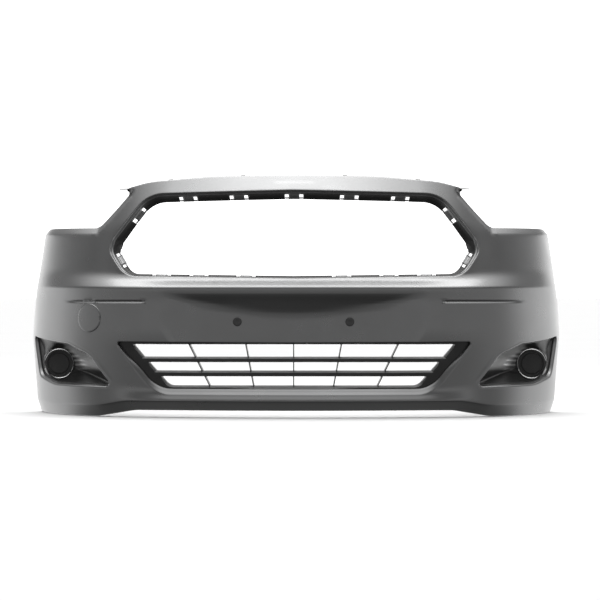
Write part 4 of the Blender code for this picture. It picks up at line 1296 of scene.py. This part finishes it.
@dataclass
class Fixings:
    """Where the screws stand, with the bosses that take them and the ears they pass through."""

    shape: NoseShape
    finishes: Finishes
    seat: float = 0.0135
    away: float = 0.012
    inner: float = 0.004
    boss_radius: float = 0.0060
    boss_bore: float = 0.0024
    boss_sides: int = 20
    ear_radius: float = 0.0100
    ear_bore: float = 0.0023
    ear_thick: float = 0.0030
    ear_sides: int = 28
    wall: float = 0.003
    grille_spots: tuple = ((-0.27, 0.2265), (0.0, 0.2265), (0.27, 0.2265), (-0.25, 0.075), (0.25, 0.075),
                           (-0.49, 0.155), (0.49, 0.155))
    fog_spots: tuple = ((0.600, 0.142), (0.820, 0.228), (0.720, 0.097))

    def places(self) -> list:
        """Flat places of every screw, each with the spot inside the edge whose depth it shares."""
        shape = self.shape
        runs = [(rounded(both_halves(shape.lower_opening, shape.lower_foot), 0.05, 20.0), self.grille_spots)]
        for side in Side:
            spots = tuple((side.value * s, z) for s, z in self.fog_spots)
            runs.append((rounded(shape.fog_corners(side), 0.05, 20.0), spots))
        found = []
        for outline, spots in runs:
            for s, z in spots:
                k = nearest(outline, s, z)
                run = outline[(k + 1) % len(outline)] - outline[k - 1]
                run = run / np.linalg.norm(run)
                way = np.array([run[1], -run[0]])
                found.append((outline[k] + way * self.away, outline[k] - way * self.inner))
        return found

    def axes(self, place: np.ndarray, source: np.ndarray) -> tuple[Matrix, float]:
        """Axes of a screw on its seat, and how far the cover's inner face lies from there."""
        shape = self.shape
        shift = np.array([0.0, 0.002, -0.002])
        level = shape.depth(source[0] + shift, np.full(3, source[1])) + self.seat
        seat = shape.points(place[0] + shift, np.full(3, place[1]), level)
        side = (Vector(seat[1]) - Vector(seat[2])).normalized()
        up = Vector((0, 0, 1))
        face = shape.depth(np.array([place[0]]), np.array([place[1]]))[0]
        return axes_at(Vector(seat[0]), side, up, side.cross(up)), float(level[0] - face - self.wall)

    def build(self) -> list:
        """Builds the screw bosses and the ears in front of them."""
        stands = [self.axes(place, source) for place, source in self.places()]
        work = bmesh.new()
        for axes, rise in stands:
            self.add_boss(work, axes, rise)
        bosses = make_piece("screw_bosses", finished(work, "screw_bosses"), [self.finishes.back], Body.COVER)
        bevel(bosses, 0.0004)
        work = bmesh.new()
        for axes, _ in stands:
            self.add_ear(work, axes)
        ears = make_piece("screw_ears", finished(work, "screw_ears"), [self.finishes.moulded], Body.COVER)
        bevel(ears, 0.0003)
        return [bosses, ears]

    def add_ear(self, work: bmesh.types.BMesh, axes: Matrix) -> None:
        """Adds one round screw ear with a raised ring and a hole."""
        bore, edge, thick = self.ear_bore, self.ear_radius, self.ear_thick
        section = [(bore, 0.0), (edge, 0.0), (edge, -thick), (edge - 0.0008, -thick - 0.0008),
                   (edge - 0.0018, -thick - 0.0008), (edge - 0.0024, -thick), (bore, -thick)]
        add_turned(work, axes, section, self.ear_sides, closed=True)

    def add_boss(self, work: bmesh.types.BMesh, axes: Matrix, rise: float) -> None:
        """Adds one hollow boss."""
        low, bore, edge = 0.0006, self.boss_bore, self.boss_radius
        section = [(bore, rise * 0.6), (bore, low), (edge - 0.0008, low), (edge, low + 0.0008), (edge, rise)]
        rings = add_turned(work, axes, section, self.boss_sides)
        work.faces.new(rings[0])
        work.faces.new(rings[-1])


# ---------------------------------------------------------------- the lower grille


@dataclass
class LowerGrille:
    """The black insert: a wide frame, two slats with sloped tops and thin ribs."""

    shape: NoseShape
    material: bpy.types.Material
    seat: float = 0.0135
    inset: float = 0.004
    border: float = 0.012
    depth: float = 0.024
    rows: tuple = ((0.184, 0.222), (0.142, 0.168), (0.097, 0.125))
    ribs: tuple = ((0.124, 0.19), (0.259, 0.50), (0.386, 0.90))
    rib_width: float = 0.003
    slope: float = 0.0062
    edge: float = 0.0007
    slope_depth: float = 0.010
    grid_half: float = 0.56
    grid_ends: tuple = (0.08, 0.23)
    grid_steps: tuple = (0.016, 0.012)

    def face(self, flat: np.ndarray, drop: np.ndarray | float,
             source: np.ndarray | None = None) -> np.ndarray:
        """World points of the grille's front, or behind it by the drop."""
        source = flat if source is None else source
        level = self.shape.depth(source[:, 0], source[:, 1]) + self.seat + drop
        return self.shape.points(flat[:, 0], flat[:, 1], level)

    def rib_at(self, index: int, z: float) -> float:
        """Distance from the middle of a rib, or of the end of the cells."""
        foot, lean = self.ribs[index]
        return foot + lean * (z - self.rows[-1][0])

    def cells(self) -> list:
        """Outlines of the openings between slats and ribs."""
        found = []
        half = self.rib_width / 2
        for low, high in self.rows:
            for index in range(3):
                left = [self.rib_at(index - 1, z) + half if index else half for z in (low, high)]
                right = [self.rib_at(index, z) - (half if index < 2 else 0.0) for z in (low, high)]
                foot = 0.035 if index == 2 and low == self.rows[-1][0] else 0.0025
                cell = ((left[0], low, 0.0015), (right[0], low, foot), (right[1], high, 0.0025),
                        (left[1], high, 0.0015))
                found += [rounded(cell, 0.012, 12.0), rounded(mirrored(cell), 0.012, 12.0)]
        return found

    def build(self) -> bpy.types.Object:
        """Builds the grille."""
        shape, skin = self.shape, Skin()
        opening = rounded(both_halves(shape.lower_opening, shape.lower_foot), 0.010)
        outer = offset(opening, -self.inset)
        cells = self.cells()
        fronts = []
        for cell in cells:
            way, _ = outward_ways(cell)
            low = eased((-way[:, 1] - 0.5) * 3.0)
            fronts.append((offset(cell, self.edge + (self.slope - self.edge) * low), low))
        front_ring, *starts = self.add_sheet(skin, outer, [front for front, _ in fronts], 0.0)
        back_ring, *ends = self.add_sheet(skin, outer, cells, self.depth)
        wide = offset(outer, self.inset + self.border)
        wide_front = skin.grow(front_ring, self.face(wide, 0.0, outer))
        wide_back = skin.grow(wide_front, self.face(wide, self.depth, outer))
        skin.add_strip(wide_back, back_ring)
        for cell, (_, low), start, end in zip(cells, fronts, starts, ends):
            drop = self.edge + (self.slope_depth - self.edge) * low
            skin.add_strip(skin.grow(start, self.face(cell, drop)), end)
        grille = make_piece("grille_insert", skin.mesh("grille_insert"), [self.material], Body.COVER,
                            ("lower_grille",))
        bevel(grille, 0.0007)
        return grille

    def add_sheet(self, skin: Skin, outer: np.ndarray, holes: list, drop: float) -> list:
        """Adds the front or the back face.

        Args:
            skin: the skin so far.
            outer: its outline.
            holes: outlines of the openings in it.
            drop: how far it lies behind the seat.

        Returns:
            Numbers of the points round its outline and round each hole.
        """
        columns = np.arange(-self.grid_half, self.grid_half, self.grid_steps[0])
        heights = np.arange(*self.grid_ends, self.grid_steps[1])
        spread = PointSet([outer] + holes)
        spread.add(np.stack(np.meshgrid(columns, heights), -1).reshape(-1, 2), PointSet.CELL)
        flat, faces = triangulated(outer, holes, spread.inside(outer, holes))
        numbers = skin.add_points(self.face(flat, drop))
        skin.faces += numbers[faces].tolist()
        find = FlatIndex(flat)
        return [numbers[find.numbers(outline)] for outline in [outer] + holes]


# ---------------------------------------------------------------- fog pockets


@dataclass
class FogPocket:
    """One black fog bezel with its round blank."""

    shape: NoseShape
    side: Side
    bezel_finish: bpy.types.Material
    blank_finish: bpy.types.Material
    wall: float = 0.0025
    border: float = 0.010
    inset: float = 0.004
    seat: float = 0.0135
    blank_radius: float = 0.0445
    blank_fit: float = 0.0019
    centre: tuple = (0.743, 0.0396, 0.156)
    yaw: float = 6.0
    middle: tuple = (0.785, 0.156)
    sag: float = 0.006
    collar: float = 0.016
    ridge: float = 0.0022
    ridge_pitch: float = 0.0135
    rings: int = 20

    def axes(self) -> Matrix:
        """Axes of the blank, which looks along its Z."""
        yaw, sign = math.radians(self.yaw), self.side.value
        out = Vector((sign * math.sin(yaw), -math.cos(yaw), 0.0))
        up = Vector((0, 0, 1))
        place = Vector((sign * self.centre[0], self.centre[1], self.centre[2]))
        return axes_at(place, up.cross(out), up, out)

    def build(self) -> list:
        """Builds the bezel and the blank."""
        name = self.side.name.lower()
        bezel = make_piece("fog_surround_" + name, self.bezel_mesh(), [self.bezel_finish], Body.COVER,
                           ("fog_bezel_" + name,))
        thicken(bezel, self.wall)
        blank = make_piece("fog_cap_" + name, self.blank_mesh(), [self.blank_finish], Body.COVER,
                           ("fog_blank_" + name,))
        bevel(blank, 0.0003)
        return [bezel, blank]

    def bezel_mesh(self) -> bpy.types.Mesh:
        """The sculpted funnel from the opening to the round collar, with a painted highlight share."""
        shape, skin = self.shape, Skin()
        sign = self.side.value
        outline = rounded(shape.fog_corners(self.side), 0.006)
        border, edge = offset(outline, self.border), offset(outline, -self.inset)
        level = shape.depth(edge[:, 0], edge[:, 1]) + self.seat
        start = shape.points(edge[:, 0], edge[:, 1], level)
        ways = np.arctan2(edge[:, 1] - self.middle[1], edge[:, 0] - sign * self.middle[0])
        radius = self.blank_radius + self.blank_fit
        axes = self.axes()
        spots = [Vector((math.cos(a) * radius, math.sin(a) * radius, 0.0)) for a in ways]
        target = np.array([axes @ spot for spot in spots])
        deep = [np.array([axes @ (spot - Vector((0, 0, self.collar * part))) for spot in spots])
                for part in (0.08, 1.0)]
        out = np.array(shape.outward(sign * self.middle[0]))
        last = skin.add_points(shape.points(border[:, 0], border[:, 1], level), 0.0)
        last = skin.grow(last, start, 0.0)
        inboard = eased((-np.cos(ways) * sign - 0.10) / 0.5)
        for k in range(1, self.rings + 1):
            share = k / self.rings
            ring = start + (target - start) * share
            ring = ring - out * (self.sag * math.sin(math.pi * share))
            wave = 0.5 + 0.5 * np.sin(2 * math.pi * ring[:, 2] / self.ridge_pitch)
            mask = inboard * float(eased((share - 0.50) / 0.2) * eased((1.0 - share) / 0.1))
            ring = ring + out * (self.ridge * np.square(wave) * mask)[:, None]
            lift = 0.0035 * math.exp(-((share - 0.93) / 0.05) ** 2)
            ring = ring + out * (lift * (1 - inboard))[:, None]
            # Painted highlight: a crescent on the outboard side near the collar, and the upper inboard ramp
            # with painted light and shade streaks at the ridge pitch, go into the primer share, which the
            # satin finish turns pale and metallic.
            crescent_highlight = math.exp(-((share - 0.92) / 0.036) ** 4) * eased((np.cos(ways) * sign + 0.15) / 0.3)
            streak = 0.55 + 0.45 * np.sin(2 * math.pi * ring[:, 2] / self.ridge_pitch)
            calm = float(eased((0.85 - share) / 0.25))
            fade = calm + (1 - calm) * streak * 0.5
            slope = inboard * eased((ring[:, 2] - 0.136) / 0.02) * fade * float(share < 0.95)
            last = skin.grow(last, ring, np.maximum(crescent_highlight, slope))
        for ring in deep:
            last = skin.grow(last, ring, 0.0)
        made = skin.mesh("fog_bezel_skin")
        face_forward(made, Vector(out))
        return made

    def blank_mesh(self) -> bpy.types.Mesh:
        """The round blank: a stepped rim and a dished middle with fine rings."""
        radius = self.blank_radius
        profile = [
            (0.0, -0.0046), (0.010, -0.0045), (0.020, -0.0041), (0.0290, -0.0034), (0.0300, -0.0030),
            (0.0308, -0.0030), (0.0325, -0.0049), (0.0335, -0.0054), (0.0352, -0.0054), (0.0360, -0.0050),
            (0.0376, -0.0014), (0.0382, -0.0010), (0.0388, -0.0010), (0.0436, -0.0013), (0.0441, -0.0014),
            (radius, -0.0019), (radius, -0.0026), (radius, -0.0110), (0.0, -0.0110),
        ]
        return turned_mesh("fog_blank", profile, 96, self.axes())


# ---------------------------------------------------------------- small pieces


@dataclass
class TowCover:
    """The round painted cap over the towing eye, with a pry notch in its edge."""

    shape: NoseShape
    material: bpy.types.Material
    centre: tuple = (-0.642, 0.301)
    radius: float = 0.0417
    skirt: float = 0.008
    wall: float = 0.0025
    roll: float = 0.0012
    notch_half: float = 0.0065
    notch_reach: float = 0.0032
    shares: tuple = (0.12, 0.28, 0.44, 0.60, 0.74, 0.86, 0.94, 1.0)

    def build(self) -> bpy.types.Object:
        """Builds the cap."""
        shape, skin = self.shape, Skin()
        sides = 96
        turn = np.arange(sides) * 2 * math.pi / sides
        across = self.radius * np.sin(turn)
        notch = self.notch_reach * eased((self.notch_half - np.abs(across)) / 0.002) * (np.cos(turn) > 0)
        rings = [((self.radius - self.roll - notch) * share, 0.0, 1.0) for share in self.shares]
        for a in (math.radians(angle) for angle in (30.0, 60.0, 90.0)):
            reach = self.radius - notch - self.roll * (1 - math.sin(a))
            rings.append((reach, self.roll * (1 - math.cos(a)), 1.0))
        rings.append((rings[-1][0], self.skirt, 0.4))
        hub = skin.add_points(np.array([shape.spot(*self.centre)]))
        last = np.repeat(hub, sides)
        for reach, back, primer in rings:
            s, z = self.centre[0] + reach * np.cos(turn), self.centre[1] + reach * np.sin(turn)
            last = skin.grow(last, shape.points(s, z, shape.depth(s, z) + back), primer)
        made = skin.mesh("tow_cap_skin")
        face_forward(made, shape.outward(self.centre[0]))
        cap = make_piece("tow_cap", made, [self.material], Body.TOW_COVER,
                         ("tow_eye_cover",))
        thicken(cap, self.wall)
        return cap


@dataclass
class PlatePlug:
    """A push-in plug in the plate panel."""

    shape: NoseShape
    side: Side
    material: bpy.types.Material
    spread: float = 0.172
    height: float = 0.290
    hole: float = 0.0095
    head: float = 0.0135
    proud: float = 0.0003

    def build(self) -> bpy.types.Object:
        """Builds the plug: a domed head with a ring, and a tapered shank."""
        seat = self.shape.spot(self.side.value * self.spread, self.height) - Vector((0, self.proud, 0))
        axes = Matrix.Translation(seat) @ Matrix.Rotation(math.radians(90), 4, "X")
        shank = self.hole - 0.0008
        profile = [
            (0.0, 0.0012), (0.0035, 0.0012), (0.0045, 0.0016), (0.0085, 0.0020), (0.0112, 0.0019),
            (0.0126, 0.0014), (0.0133, 0.0007), (self.head, 0.0), (shank, 0.0), (shank, -0.0055),
            (shank - 0.0004, -0.0065), (shank - 0.0020, -0.0100), (0.0, -0.0100),
        ]
        mesh = turned_mesh("plate_plug", profile, 48, axes)
        name = self.side.name.lower()
        return make_piece("plug_" + name, mesh, [self.material], Body.COVER,
                          ("plate_plug_" + name,))


@dataclass
class Hardware:
    """Screws and spring nuts, whose shapes come from the frame."""

    material: bpy.types.Material

    def dress(self) -> int:
        """Gives every screw and nut its plating.

        Returns:
            How many there are.
        """
        count = 0
        for name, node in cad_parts.items():
            if "screw" in name or "nut" in name:
                node.data.materials.clear()
                node.data.materials.append(self.material)
                count += 1
        return count


# ---------------------------------------------------------------- the studio


@dataclass
class Studio:
    """Floor, soft light from above and behind, and the camera."""

    nose_front: float = -0.2566
    distance: float = 6.3
    frame_width: float = 1.8
    camera_x: float = 0.115
    camera_z: float = 0.372
    aim_x: float = 0.020
    aim_z: float = 0.356
    sensor: float = 36.0
    ahead: float = 0.62
    behind: float = 1.75
    above: float = 2.3
    below: float = 0.48
    below_side: float = 0.90
    dip: float = 0.24
    lamp_size: tuple = (3.2, 1.2)
    lamp_power: float = 36.0
    lamp_place: tuple = (0.0, 0.15, 2.6)
    floor_half: float = 600.0
    floor_drop: float = 0.0005
    sight: float = 200.0

    def build(self) -> None:
        """Builds the studio."""
        self.build_floor()
        self.build_sky()
        self.build_lamps()
        self.build_camera()

    def build_floor(self) -> None:
        """Adds the floor."""
        half = self.floor_half
        corners = [(-half, -half, 0), (half, -half, 0), (half, half, 0), (-half, half, 0)]
        made = bpy.data.meshes.new("floor")
        made.from_pydata(corners, [], [(0, 1, 2, 3)])
        floor = bpy.data.objects.new("floor", made)
        bpy.context.scene.collection.objects.link(floor)
        floor.location.z = -self.floor_drop
        made.materials.append(FloorFinish().make())
        floor.visible_diffuse = False
        floor.visible_glossy = False

    def build_sky(self) -> None:
        """Lights the room: bright above and behind, dim in front."""
        scene = bpy.context.scene
        scene.world = bpy.data.worlds.new("studio")
        net = Net(scene.world)
        way = net.add("ShaderNodeTexCoord", {}, {}, "Generated")
        back, up = (net.add("ShaderNodeSeparateXYZ", {}, {"Vector": way}, axis) for axis in "YZ")

        def ramp(part: Wire, start: float, end: float, low: float, high: float) -> Wire:
            """Maps a part of the direction to a strength."""
            ends = {"Value": part, "From Min": start, "From Max": end, "To Min": low, "To Max": high}
            return net.add("ShaderNodeMapRange", {"interpolation_type": "SMOOTHSTEP"}, ends)

        level = ramp(back, -0.46, 0.36, self.ahead, self.behind)
        climb = ramp(up, 0.50, 0.95, 0.0, self.above - self.behind * self.dip)
        low = ramp(back, -0.45, 0.25, self.below, self.below_side) * ramp(up, -0.85, -0.45, 0.12, 1.0)
        ground = low.math("MAXIMUM", ramp(up, -0.10, -0.01, 0.0, 1.0), low)
        total = (level * ramp(up, 0.10, 0.30, 1.0, self.dip) + climb) * ground
        sky = net.tree.nodes["Background"]
        net.connect(sky.inputs["Strength"], total)
        net.connect(sky.inputs["Color"], (1.0, 1.0, 1.0, 1.0))
        scene.view_settings.view_transform = "Standard"
        scene.view_settings.look = "None"

    def build_lamps(self) -> None:
        """Adds the long soft light over the cover."""
        data = bpy.data.lights.new("overhead", "AREA")
        data.shape = "RECTANGLE"
        data.size, data.size_y = self.lamp_size
        data.energy = self.lamp_power
        lamp = bpy.data.objects.new("overhead", data)
        lamp.location = self.lamp_place
        bpy.context.scene.collection.objects.link(lamp)

    def build_camera(self) -> None:
        """Adds the camera and makes it the scene's."""
        data = bpy.data.cameras.new("camera")
        data.sensor_width = self.sensor
        data.lens = self.sensor * self.distance / self.frame_width
        camera = bpy.data.objects.new("camera", data)
        camera.location = (self.camera_x, self.nose_front - self.distance, self.camera_z)
        aim = Vector((self.aim_x, self.nose_front, self.aim_z)) - camera.location
        camera.rotation_euler = aim.to_track_quat("-Z", "Y").to_euler()
        data.clip_end = self.sight
        bpy.context.scene.collection.objects.link(camera)
        bpy.context.scene.camera = camera


def write_size() -> None:
    """Updates the view layer."""
    bpy.context.view_layer.update()


def main() -> None:
    """Builds every piece in order."""
    logging.basicConfig(level=logging.INFO, format="%(name)s %(message)s")
    finishes = Finishes.make()
    shape = NoseShape()
    CoverShell(shape, finishes).build()
    Fixings(shape, finishes).build()
    LowerGrille(shape, finishes.moulded).build()
    for side in Side:
        FogPocket(shape, side, finishes.bezel, finishes.blank).build()
        PlatePlug(shape, side, finishes.plug).build()
    TowCover(shape, finishes.primer).build()
    LOG.info("%d screws and nuts plated", Hardware(finishes.zinc).dress())
    Studio().build()
    write_size()


if __name__ == "__main__":
    main()
